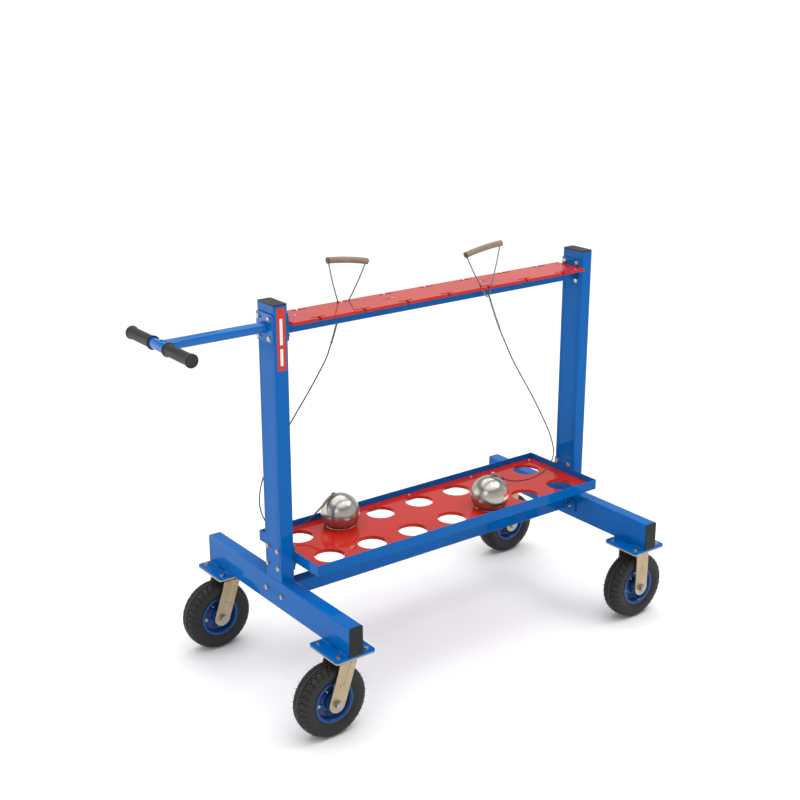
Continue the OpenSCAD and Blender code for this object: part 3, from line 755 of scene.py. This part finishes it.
def make_wheel_bolts(name, centre, body, replaced, turn):
    rng = random.Random(5)
    shape = Shape()
    for k in range(3):
        a = math.radians(turn + 120 * k)
        out = spoke(a) * 37.0 * MM
        for flip in (1, -1):
            foot = centre + out + along_y(flip * 4.0)
            add_washer(shape, foot, (0, flip, 0), 5.7, 3.0, 0.9)
            seat = foot + along_y(flip * 0.9)
            add_hex(shape, seat, (0, flip, 0), 9.8, 2.1 if flip < 0 else 3.0, rng.uniform(0, 1.0))
            if flip > 0:
                shape.lathe(seat, (0, 1, 0), [(2.9, 2.0), (2.9, 4.6), (2.2, 5.0), (0.01, 5.0)], 24)
    shape.place(name, ZINC, 30, body, "zinc", replaced)


def make_valve(name, centre, body, turn, flip):
    """Rubber-footed valve stem with a metal end, leaning out of the rim's dish."""
    a = math.radians(turn)
    out = spoke(a)
    foot = centre + (out * 46.6 + Vector((0, flip * 9.5, 0))) * MM
    way = (-out * 0.8 + Vector((0, flip * 0.6, 0))).normalized()
    rubber = Shape()
    rubber.lathe(foot, way, [(0.01, 0), (5.2, 0), (4.6, 1.6), (3.4, 3.0), (3.2, 7.0), (2.6, 7.6),
                             (0.01, 7.6)], 28)
    rubber.place(f"{name}_foot", TYRE, 40, body, "tyre_rubber")
    brass = Shape()
    rows = [(2.2, 7.0), (2.2, 8.0)]
    rows += [(2.45 if k % 2 else 2.15, 8.2 + 0.4 * k) for k in range(6)]
    rows += [(2.9, 10.8), (2.9, 14.2), (2.4, 14.8), (0.01, 14.8)]
    brass.lathe(foot, way, rows, 24)
    brass.place(f"{name}_stem", ZINC, 40, body, "zinc")


for index, side in enumerate(SIDES):
    for end in ("front", "rear"):
        wheel = f"{side}_{end}"
        body = f"{wheel}_wheel"
        hub = middle(f"{wheel}_rim")
        make_tyre(f"{wheel}_tread", hub, body, f"{wheel}_tyre")
        if wheel != "left_front":
            make_vent_hairs(f"{wheel}_vent_hairs", hub, body, 3 + index)
        make_rim(f"{wheel}_disc", hub, body, f"{wheel}_rim")
        turn = 0 if end == "front" else 10
        make_wheel_bolts(f"{wheel}_disc_bolts", hub, body, f"{wheel}_rim_bolts", 74 + turn)
        make_valve(f"{wheel}_valve", hub, body, 119 + turn, -1)


# Caster forks ----------------------------

def leg_edges(height, swivel):
    """Left and right x of a leg's outline, from the axle, at a height above the axle, in mm."""
    end_r = 24.0
    if not swivel:
        half = end_r if height > 0 else math.sqrt(max(0.0, end_r ** 2 - height ** 2))
        return -half, half
    out = []
    for x_top, sign in ((13.5, 1), (63.5, -1)):
        p = Vector((x_top, 113.0))
        a = math.atan2(p.y, p.x) + sign * math.acos(end_r / p.length)
        t = Vector((end_r * math.cos(a), end_r * math.sin(a)))
        if height >= t.y:
            share = (height - t.y) / (p.y - t.y)
            out.append(t.x + (p.x - t.x) * min(1.0, share))
        else:
            out.append(-sign * math.sqrt(max(0.0, end_r ** 2 - height ** 2)))
    return out[0], out[1]


def smooth_step(x):
    x = max(0.0, min(1.0, x))
    return x * x * (3 - 2 * x)


def rib_depth(across, height, swivel):
    """How far the leg's pressed rib sinks in, in mm. across is measured from the leg's middle."""
    if swivel:
        reach = math.hypot(across, min(0.0, height - 52.0))
        return 3.2 * smooth_step((9.2 - reach) / 3.4)
    reach = math.hypot(across, min(0.0, height - 64.0))
    return 1.7 * smooth_step((5.0 - reach) / 2.6)


def fork_stations(half, corner, top):
    """(y, z, outward y, outward z) along the sheet's outside, from one leg's end to the other's."""
    low = [-24.0 * math.cos(math.pi / 2 * k / 16) for k in range(17)]
    leg = low + [low[-1] + (top - corner - low[-1]) * k / 84 for k in range(1, 85)]
    stations = [(-half, z, -1.0, 0.0) for z in leg]
    for k in range(1, 13):
        a = math.pi / 2 * k / 12
        stations.append((-half + corner * (1 - math.cos(a)), top - corner + corner * math.sin(a),
                         -math.cos(a), math.sin(a)))
    up = list(stations)
    flat = half - corner
    stations += [(-flat + 2 * flat * k / 14, top, 0.0, 1.0) for k in range(1, 14)]
    return stations + [(-y, z, -ny, nz) for y, z, ny, nz in reversed(up)]


def make_fork(name, hub, body, top, swivel, replaced):
    """One pressed sheet: up one leg, over two rounded shoulders and down the other."""
    half, sheet, corner, columns = 38.0, 4.0, 8.0, 60
    rows = []
    for y, z, ny, nz in fork_stations(half, corner, top):
        x0, x1 = leg_edges(min(z, top), swivel)
        mid = (x0 + x1) / 2
        outer, inner = [], []
        for k in range(columns + 1):
            share = k / columns
            if z < 0:
                share = 0.5 - 0.5 * math.cos(math.pi * share)
            x = x0 + (x1 - x0) * share
            sink = rib_depth(x - mid, z, swivel) * smooth_step((abs(ny) - 0.15) / 0.5)
            edge = min(share, 1 - share) * (x1 - x0)
            soft = 0.5 * max(0.0, 1 - edge / 1.0)
            for row, back in ((outer, sink + soft), (inner, sheet + sink * 0.8 - soft)):
                row.append(hub + Vector((x, y - ny * back, z - nz * back)) * MM)
        rows.append(outer + list(reversed(inner)))
    shape = Shape()
    shape.cap_ends(shape.grid(rows), len(rows), len(rows[0]))
    if swivel:
        race = Vector((hub.x + TRAIL, hub.y, hub.z + top * MM))
        shape.ring(race, (0, 0, 1), [(14, -0.2), (27, -0.2), (28, 0.6), (28, 3.2), (27, 4), (14, 4)], 72)
    shape.place(name, GOLD, 32, body, "yellow_zinc", replaced)


def make_axle(name, hub, body, replaced):
    """Hex bolt, washers, sleeve and lock nut of one wheel."""
    shape = Shape()
    shape.lathe(hub, (0, 1, 0), [(9.2, -33.8), (9.9, -33.2), (9.9, 33.2), (9.2, 33.8)], 48)
    for flip in (1, -1):
        add_washer(shape, hub + along_y(flip * 38.05), (0, flip, 0), 12.0, 6.0, 1.6)
    shape.place(f"{name}_sleeve", GOLD, 35, body, "yellow_zinc", replaced)
    steel = Shape()
    add_hex(steel, hub + along_y(39.6), (0, 1, 0), 17.6, 6.3, 0.3)
    add_hex(steel, hub + along_y(-39.6), (0, -1, 0), 18.6, 8.3, 0.2, 0.7)
    steel.lathe(hub, (0, -1, 0), [(5.9, 46.6), (5.9, 48.0), (5.4, 48.4), (0.01, 48.4)], 40)
    steel.place(f"{name}_nut", NUT_ZINC, 30, body, "zinc")


for side in SIDES:
    front = middle(f"{side}_front_rim")
    rear = middle(f"{side}_rear_rim")
    swivel_body = f"{side}_swivel"
    make_fork(f"{side}_swivel_pressing", front, swivel_body, 112.0, True, f"{side}_swivel_fork")
    make_fork(f"{side}_fixed_pressing", rear, "frame", 126.0, False, f"{side}_fixed_fork")
    make_axle(f"{side}_swivel_axle_set", front, swivel_body, f"{side}_swivel_axle")
    make_axle(f"{side}_fixed_axle_set", rear, "frame", f"{side}_fixed_axle")


# Bolts, nuts and screws ------------------

TOP_FLANGE_Z = 1.008
TRAY_FLANGE_Z = 0.378
LOW_BOLT_Z = 0.276
FLANGE_T = 0.005
BOLT_STEP = 0.025
LOW_BOLT_Y = 0.038


def square_of(y_step, z, z_step):
    return [(y, z + dz) for y in (-y_step, y_step) for dz in (-z_step, z_step)]


def frame_bolt_places():
    """(x under the head, x under the nut, y, z) of every bolt that runs along the cart."""
    low = [(y, LOW_BOLT_Z) for y in (-LOW_BOLT_Y, LOW_BOLT_Y)]
    top = square_of(BOLT_STEP, TOP_FLANGE_Z, BOLT_STEP)
    tray = square_of(BOLT_STEP, TRAY_FLANGE_Z, BOLT_STEP)
    near0, near1 = POST[0][0], POST[1][0]
    far0, far1 = FAR_POST[0][0], FAR_POST[1][0]
    places = [(near0 - FLANGE_T, near1 + FLANGE_T, y, z) for y, z in top]
    places += [(near0, near1 + FLANGE_T, y, z) for y, z in tray + low]
    places += [(far0 - FLANGE_T, far1, y, z) for y, z in top + tray + low]
    return places


def make_frame_fasteners():
    rng = random.Random(11)
    heads, nuts = Shape(), Shape()
    for x0, x1, y, z in frame_bolt_places():
        add_bolt_head(heads, (x0, y, z), (-1, 0, 0), rng)
        add_nut(nuts, (x1, y, z), (1, 0, 0), rng, 2.4)
    for x in (NEAR_X, FAR_X):
        for y in (-WHEEL_Y, WHEEL_Y):
            for dx in (-0.042, 0.042):
                for dy in (-0.045, 0.045):
                    add_bolt_head(heads, (x + dx, y + dy, 0.235), (0, 0, 1), rng)
                    add_nut(nuts, (x + dx, y + dy, 0.226), (0, 0, -1), rng, 1.2)
    heads.place("bolt_heads", ZINC, 28, "frame", "zinc", "frame_bolts", "caster_bolts")
    nuts.place("nyloc_nuts", ZINC, 28, "frame", "zinc", "lock_nuts")


def make_screws():
    """Pan-head screws with a cross recess, along the tray's edges and the plate's middle."""
    rng = random.Random(7)
    shape = Shape()
    tray_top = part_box("tray_sheet")[1][2]
    plate_top = PLATE[1][2]
    middle_x = (TRAY[0][0] + TRAY[1][0]) / 2
    places = [(middle_x + 0.004 + (i - 2) * 0.2375, y, tray_top)
              for i in range(5) for y in (-0.1295, 0.1295)]
    places += [(middle_x + (i - 1.5) * 0.3055, 0.0, plate_top) for i in range(4)]
    head = [(4.3, 0.0), (4.3, 0.5), (4.0, 1.3), (3.3, 2.0), (2.2, 2.4), (2.0, 2.4), (1.5, 1.3), (0.01, 1.1)]
    for p in places:
        turn = rng.uniform(0, math.pi)
        shape.lathe(p, (0, 0, 1), head, 32)
        slot = Vector(p) + Vector((0, 0, 2.15)) * MM
        for k in range(2):
            a = turn + k * math.pi / 2
            way = Vector((math.cos(a), math.sin(a), 0))
            shape.sweep([slot + way * 2.0 * MM * s for s in (-1, 0, 1)], 0.28 * MM, 6)
    shape.place("pan_screws", ZINC, 35, "frame", "zinc", "sheet_screws")


make_frame_fasteners()
make_screws()


# Welds -----------------------------------

def add_weld(shape, start, end, normals, width, rng):
    """A fillet bead between two faces: overlapping scales along the corner line."""
    start, end = Vector(start), Vector(end)
    ahead = (end - start).normalized()
    length = (end - start).length
    n1, n2 = (Vector(n) for n in normals)
    steps = max(8, round(length / (1.1 * MM)))
    rows = []
    for i in range(steps + 1):
        along = start + ahead * length * i / steps
        scale = abs(((i / 3.0) % 1.0) - 0.35)
        size = width * (0.86 + 0.22 * (1 - scale) + rng.uniform(-0.03, 0.03))
        taper = min(1.0, (i + 0.6) / 3, (steps - i + 0.6) / 3)
        size *= taper
        rows.append([along - (n1 + n2) * 0.4 * MM] + [
            along + (n1 * math.cos(a) + n2 * math.sin(a)) * size * (0.82 if 0.3 < a < 1.3 else 1.0)
            for a in (math.pi / 2 * k / 5 for k in range(6))])
    shape.cap_ends(shape.grid(rows), steps + 1, 7)


def make_welds():
    rng = random.Random(23)
    shape = Shape()
    beam_top = BEAM[1][2]
    for post in (POST, FAR_POST):
        for y, out in ((post[0][1], -1), (post[1][1], 1)):
            add_weld(shape, (post[0][0] + 0.003, y, beam_top), (post[1][0] - 0.003, y, beam_top),
                     ((0, out, 0), (0, 0, 1)), 3.2 * MM, rng)
    plate_top = 0.235
    for beam in (BEAM, FAR_BEAM):
        for x, out in ((beam[0][0], -1), (beam[1][0], 1)):
            for sign in (-1, 1):
                for y0, y1 in ((0.228, 0.267), (0.302, 0.344)):
                    add_weld(shape, (x, sign * y0, plate_top), (x, sign * y1, plate_top),
                             ((out, 0, 0), (0, 0, 1)), 3.0 * MM, rng)
    span0, span1 = TRAY[0][0] + FLANGE_T, TRAY[1][0] - FLANGE_T
    for x, out in ((span0, 1), (span1, -1)):
        for y, side in ((-0.02, -1), (0.02, 1)):
            add_weld(shape, (x, y, 0.259), (x, y, 0.295), ((out, 0, 0), (0, side, 0)), 2.8 * MM, rng)
            add_weld(shape, (x, side * 0.0175, 0.989), (x, side * 0.0175, 1.012),
                     ((out, 0, 0), (0, side, 0)), 2.4 * MM, rng)
        add_weld(shape, (x, -0.018, 0.257), (x, 0.018, 0.257), ((out, 0, 0), (0, 0, -1)), 2.6 * MM, rng)
    shape.place("weld_beads", BLUE, 60, "frame", "blue_paint")
    ring = Shape()
    centre = Vector((POST[0][0] - FLANGE_T, 0, TOP_FLANGE_Z))
    along, up = Vector((0, 1, 0)), Vector((0, 0, 1))
    path = circle(centre - Vector((1.2 * MM, 0, 0)), along, up, 15.0 * MM, 96)
    ring.sweep(path, 1.9 * MM, 8, closed=True)
    bar_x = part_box("left_grip")[0][0] + 0.018
    tube_r = 14.6 * MM
    saddle = []
    for p in circle(Vector((bar_x, 0, TOP_FLANGE_Z)), along, up, tube_r, 96):
        reach = math.sqrt(max(0.0, tube_r ** 2 - (p.z - TOP_FLANGE_Z) ** 2))
        saddle.append(p + Vector((reach + 0.6 * MM, 0, 0)))
    ring.sweep(saddle, 1.7 * MM, 8, closed=True)
    ring.place("handle_welds", BLUE, 60, "frame", "blue_paint")


make_welds()


# Handle grips and end caps ---------------

def make_grip(side, sign):
    """Moulded rubber grip: thin collar, smooth barrel and a flared end with a recessed face."""
    low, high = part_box(f"{side}_grip")
    centre = (Vector(low) + Vector(high)) / 2
    start = min(abs(low[1]), abs(high[1])) / MM
    end = max(abs(low[1]), abs(high[1])) / MM
    rows = [(14.05, start), (17.4, start), (17.9, start + 0.5), (17.9, start + 2.5), (17.4, start + 3.0),
            (16.0, start + 3.3), (15.4, start + 4.2), (15.2, start + 6.0), (15.2, end - 14.0),
            (15.35, end - 11.0), (15.9, end - 8.5), (16.8, end - 6.6), (17.4, end - 4.6), (17.4, end - 1.2),
            (16.9, end - 0.3), (16.0, end), (15.2, end - 0.3), (14.6, end - 1.0), (14.2, end - 1.1),
            (0.01, end - 1.1)]
    shape = Shape()
    origin = Vector((centre.x, 0, centre.z))
    shape.lathe(origin, (0, sign, 0), rows, 56)
    shape.place(f"{side}_grip_moulding", GRIP_BLACK, 40, "frame", "grip_rubber", f"{side}_grip")


for side, sign in SIDES.items():
    make_grip(side, sign)


# Hammers ---------------------------------

HAMMERS = {
    "left": {"tilt": 20.0, "turn": 165.0, "apex": (-172.5, 44, 984), "lean": 8.3,
             "handle_end": 0.085, "ball_end": 0.078},
    "right": {"tilt": 13.6, "turn": 12.0, "apex": (258.5, -44, 980), "lean": -8.0,
              "handle_end": 0.106, "ball_end": 0.038},
}
BALL_R = 0.055
GRIP_RISE, LEG_HALF, GRIP_HALF, GRIP_R, BOW_R = 148.0, 60.5, 64.0, 8.5, 700.0


def pointing(tilt, turn):
    t, a = math.radians(tilt), math.radians(turn)
    return Vector((math.sin(t) * math.cos(a), math.sin(t) * math.sin(a), math.cos(t)))


def make_ball(side, facts):
    low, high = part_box(f"{side}_hammer_ball")
    centre = Vector(((low[0] + high[0]) / 2, (low[1] + high[1]) / 2, low[2] + BALL_R))
    axis = pointing(facts["tilt"], facts["turn"])
    material = turned_steel(f"{side}_ball_steel", tuple(centre), tuple(axis))
    bore = 9.0
    rows = []
    start = math.degrees(math.asin(bore / 55.0))
    for k in range(97):
        a = math.radians(180 - (180 - start) * k / 96)
        rows.append((max(0.01, 54.95 * math.sin(a)), 54.95 * math.cos(a)))
    rim = rows[-1][1]
    rows += [(8.6, rim - 0.1), (8.3, rim - 0.8), (8.3, rim - 4.0), (0.01, rim - 4.0)]
    shape = Shape()
    shape.lathe(centre, axis, rows, 128)
    head = f"{side}_hammer_head"
    shape.place(f"{side}_ball", material, 30, head, "steel_ball", f"{side}_hammer_ball")
    plug = Shape()
    plug.ring(centre, axis, [(6.1, rim - 3), (8.1, rim - 3), (8.1, rim + 0.2), (7.6, rim + 0.7),
                             (6.6, rim + 0.7), (6.1, rim + 0.2)], 64)
    plug.place(f"{side}_ball_bush", BUSH_STEEL, 35, head, "spindle_steel")
    return centre, axis


def make_spindle(side, centre, axis):
    """Spindle with a waisted neck and a flattened eye for the wire."""
    shape = Shape()
    rows = [(5.9, 40.0), (5.9, 53.0), (5.2, 54.2), (4.4, 54.8), (4.4, 55.6), (5.0, 56.2)]
    shape.lathe(centre, axis, rows, 40)
    square = axis.cross(Vector((0, 1, 0))).normalized()
    eye = circle(centre + axis * 61.0 * MM, axis, square, 4.1 * MM, 40)
    shape.sweep(eye, 1.7 * MM, 12, closed=True)
    shape.place(f"{side}_spindle", SPINDLE_STEEL, 35, f"{side}_hammer", "spindle_steel",
          f"{side}_hammer_spindle")


def helix_round(points, radius, pitch, phase):
    """A strand wound round a path."""
    out, travelled = [], 0.0
    for i, (p, side, up) in enumerate(frames(points)):
        if i:
            travelled += (p - points[i - 1]).length
        a = phase + 2 * math.pi * travelled / pitch
        out.append(p + (side * math.cos(a) + up * math.sin(a)) * radius)
    return out


def dense(points, spacing):
    out = []
    for a, b in zip(points, points[1:]):
        count = max(1, round((b - a).length / spacing))
        out += [a.lerp(b, k / count) for k in range(count)]
    return out + [points[-1]]


def wire_eye(start, ahead, length, half):
    """A drop-shaped loop that leaves the end of a wire and comes back to it."""
    side, _ = basis(ahead)
    points = []
    for k in range(41):
        a = math.pi * k / 40
        along = length * math.sin(a) ** 0.8 if a < math.pi else 0.0
        points.append(start - ahead * along + side * half * math.sin(2 * a) * math.sin(a) * 1.3)
    return points


def make_wire_ends(side, points, facts):
    """The wire's doubled-back ends, wound on themselves and looped through handle and spindle."""
    shape = Shape()
    handle_way = Matrix.Rotation(math.radians(facts["lean"]), 3, "Y") @ Vector((0, 0, 1))
    for ends, reach, way, length in (
            (points, facts["handle_end"], handle_way, 0.008),
            (list(reversed(points)), facts["ball_end"], None, 0.006)):
        near = dense(ends, 0.8 * MM)
        count = next(i for i in range(len(near)) if path_length(near[:i + 1]) > reach)
        tail = near[2:count]
        for phase in (0.0, math.pi):
            shape.sweep(helix_round(tail, 1.75 * MM, 11.0 * MM, phase), 1.5 * MM, 10)
        ahead = -way if way else (near[8] - near[0]).normalized()
        shape.sweep(wire_eye(near[0] + ahead * 1.5 * MM, ahead, length, 0.0042), 1.5 * MM, 10)
    # Lighter steel than the wire itself: painted highlight on the wound strands and eyes.
    shape.place(f"{side}_wire_ends", TWIST_PAINTED_HIGHLIGHT, 50, f"{side}_hammer", "wire_steel")


def leg_bow(share):
    """How far a leg bends outwards, in mm, at a share of the way from the point to the grip."""
    return 2.6 * math.sin(math.pi * max(0.0, (share - 0.27) / 0.73))


def make_handle(side, facts):
    """Wire triangle with a curved bar grip."""
    lean = math.radians(facts["lean"])
    turn = Matrix.Rotation(lean, 3, "Y")
    apex = Vector(facts["apex"]) * MM

    def at(x, z):
        return apex + turn @ (Vector((x, 0, z)) * MM)

    legs = Shape()
    down = [(LEG_HALF * share + leg_bow(share), GRIP_RISE * share)
            for share in (1.0, 0.9, 0.8, 0.7, 0.6, 0.5, 0.4, 0.3, 0.22, 0.17, 0.14)]
    loop = [(5.7 * math.sin(a), 17.2 - 5.7 * math.cos(a)) for a in map(math.radians, range(-75, 76, 15))]
    path = [at(-x, z) for x, z in down] + [at(x, z) for x, z in loop] + [at(x, z) for x, z in reversed(down)]
    legs.sweep(path, 1.75 * MM, 12)
    body = f"{side}_hammer"
    legs.place(f"{side}_handle_wire", LEG_STEEL, 50, body, "wire_steel", f"{side}_hammer_legs")
    bow = math.asin(GRIP_HALF / BOW_R)
    drop = BOW_R * math.cos(bow)
    bar, rims = Shape(), Shape()

    def grip_path(a0, a1, count):
        return [at(BOW_R * math.sin(a), GRIP_RISE - drop + BOW_R * math.cos(a))
                for a in (a0 + (a1 - a0) * k / count for k in range(count + 1))]

    edge = 3.4 / BOW_R
    bar.sweep(grip_path(-bow + edge * 0.8, bow - edge * 0.8, 24), GRIP_R * MM - 0.0002, 28)
    bar.place(f"{side}_handle_grip", BRONZE, 40, body, "grip_bronze", f"{side}_hammer_grip")
    for s in (-1, 1):
        a_out, a_in = s * bow, s * (bow - edge)
        rims.sweep(grip_path(a_out, a_in, 6), lambda t: (GRIP_R - 0.8 * max(0.0, 1 - t * 5.0) ** 2) * MM, 28)
    rims.place(f"{side}_grip_rims", BRONZE_DARK, 40, body, "grip_bronze")


for side, facts in HAMMERS.items():
    ball_centre, spindle_axis = make_ball(side, facts)
    make_spindle(side, ball_centre, spindle_axis)
    make_wire_ends(side, WIRES[side], facts)
    make_handle(side, facts)


# Labels ----------------------------------

def make_ball_sticker(side, centre, facing, half_wide, half_high):
    """A thin patch that follows the ball's surface, with rounded corners."""
    out = Vector(facing).normalized()
    across = Vector((0, 0, 1)).cross(out).normalized()
    up = out.cross(across)
    columns, rows = 24, 20
    verts, faces = [], []
    for lift in (BALL_R + 0.0002, BALL_R - 0.0003):
        for j in range(rows + 1):
            v = 2 * j / rows - 1
            corner = max(0.0, abs(v) - 0.8) / 0.2
            for i in range(columns + 1):
                u = (2 * i / columns - 1) * (1 - 0.14 * (1 - math.sqrt(1 - corner ** 2)))
                way = (out + across * math.tan(u * half_wide) + up * math.tan(v * half_high)).normalized()
                verts.append(centre + way * lift)
    count = (rows + 1) * (columns + 1)
    for j in range(rows):
        for i in range(columns):
            a = j * (columns + 1) + i
            quad = (a, a + 1, a + columns + 2, a + columns + 1)
            faces += [quad, tuple(count + k for k in reversed(quad))]
    rim = list(range(columns)) + [(j + 1) * (columns + 1) - 1 for j in range(rows)]
    rim += [rows * (columns + 1) + i for i in range(columns, 0, -1)]
    rim += [j * (columns + 1) for j in range(rows, 0, -1)]
    faces += [(a, b, count + b, count + a) for a, b in zip(rim, rim[1:] + rim[:1])]
    material = vinyl("ball_sticker", (0.75, 0.075, 0.012), (0.80, 0.79, 0.76),
                     lambda n, x, z: band(n, z, centre.z + 0.001, 0.0048), 700.0, (0.22, 0.38), 0.00001)
    sticker = make_mesh(f"{side}_ball_sticker", verts, faces, material, 30)
    dress(sticker, f"{side}_hammer_head", "red_sheet")


def make_post_label():
    """Plain red and white vinyl strip on the handle-end upright."""
    x0, x1 = POST[0][0] + 0.007, POST[1][0] - 0.007
    z0, z1 = 0.899, 1.061
    y = POST[0][1]
    radius, lift = 0.003, 0.00025
    outline = []
    for cx, cz, a0 in ((x1 - radius, z1 - radius, 0), (x0 + radius, z1 - radius, 90),
                       (x0 + radius, z0 + radius, 180), (x1 - radius, z0 + radius, 270)):
        outline += arc((cx, cz), radius, a0, a0 + 90, 6)
    count = len(outline)
    verts = [(x, y, z) for x, z in outline] + [(x, y - lift, z) for x, z in outline]
    faces = [tuple(range(count)), tuple(range(count, 2 * count))]
    faces += [(k, (k + 1) % count, count + (k + 1) % count, count + k) for k in range(count)]
    material = vinyl("post_label", (0.55, 0.030, 0.010), (0.78, 0.78, 0.77), two_bars,
                     500.0, (0.18, 0.34), 0.00002, 0.3)
    dress(make_mesh("post_label", verts, faces, material, 30), "frame", "red_sheet")


make_post_label()
right_centre = middle("right_hammer_ball")
make_ball_sticker("right", right_centre, (0.410, -0.910, 0.051), 0.28, 0.24)


# Floor and light -------------------------

def make_stage():
    reach = 400
    corners = [(-reach, -reach, 0), (reach, -reach, 0), (reach, reach, 0), (-reach, reach, 0)]
    floor = make_mesh("floor", corners, [(0, 1, 2, 3)], floor_material(), 35)


def floor_material():
    n = Nodes("floor")
    speck = n.noise(3.0, 4.0, 0.5)
    tone = n.ramp(speck, (0.90, 0.90, 0.90), (0.93, 0.93, 0.93))
    return n.finish(tone, None, Roughness=0.9, Specular_IOR_Level=0.1)


def area_light(name, place, target, size, power):
    data = bpy.data.lights.new(name, "AREA")
    data.shape = "RECTANGLE"
    data.size, data.size_y = size
    data.energy = power
    obj = link(bpy.data.objects.new(name, data))
    obj.location = place
    obj.rotation_euler = (Vector(target) - Vector(place)).to_track_quat("-Z", "Y").to_euler()


def make_light():
    world = bpy.data.worlds.new("studio")
    world.use_nodes = True
    tree = world.node_tree
    background = tree.nodes["Background"]
    direction = tree.nodes.new("ShaderNodeTexCoord")
    parts = tree.nodes.new("ShaderNodeSeparateXYZ")
    ramp = tree.nodes.new("ShaderNodeValToRGB")
    tree.links.new(direction.outputs["Generated"], parts.inputs[0])
    tree.links.new(parts.outputs["Z"], ramp.inputs["Fac"])
    tree.links.new(ramp.outputs["Color"], background.inputs["Color"])
    stops = ((0.0, 0.42), (0.40, 0.40), (0.50, 0.14), (0.68, 0.14), (0.80, 1.0), (1.0, 1.0))
    elements = ramp.color_ramp.elements
    while len(elements) < len(stops):
        elements.new(0.5)
    for element, (place, value) in zip(elements, stops):
        element.position = place
        element.color = (value, value, value, 1)
    background.inputs["Strength"].default_value = 2.0
    bpy.context.scene.world = world
    area_light("side", (-2.6, 2.2, 0.9), (-0.3, 0.0, 0.6), (2.4, 1.6), 13)
    area_light("front", (-3.4, -1.6, 2.4), (0.1, 0.0, 0.5), (1.4, 1.4), 16)
    area_light("edge", (1.9, -1.1, 2.9), (0.1, 0.0, 0.4), (1.6, 0.7), 20)
    area_light("strip_back", (0.9, 1.8, 3.3), (-0.3, 0.0, 0.9), (2.6, 0.3), 9)
    area_light("strip_top", (0.7, -0.4, 3.9), (-0.3, 0.0, 0.9), (2.6, 0.2), 6)
    bpy.context.scene.view_settings.view_transform = "Standard"


make_stage()
make_light()
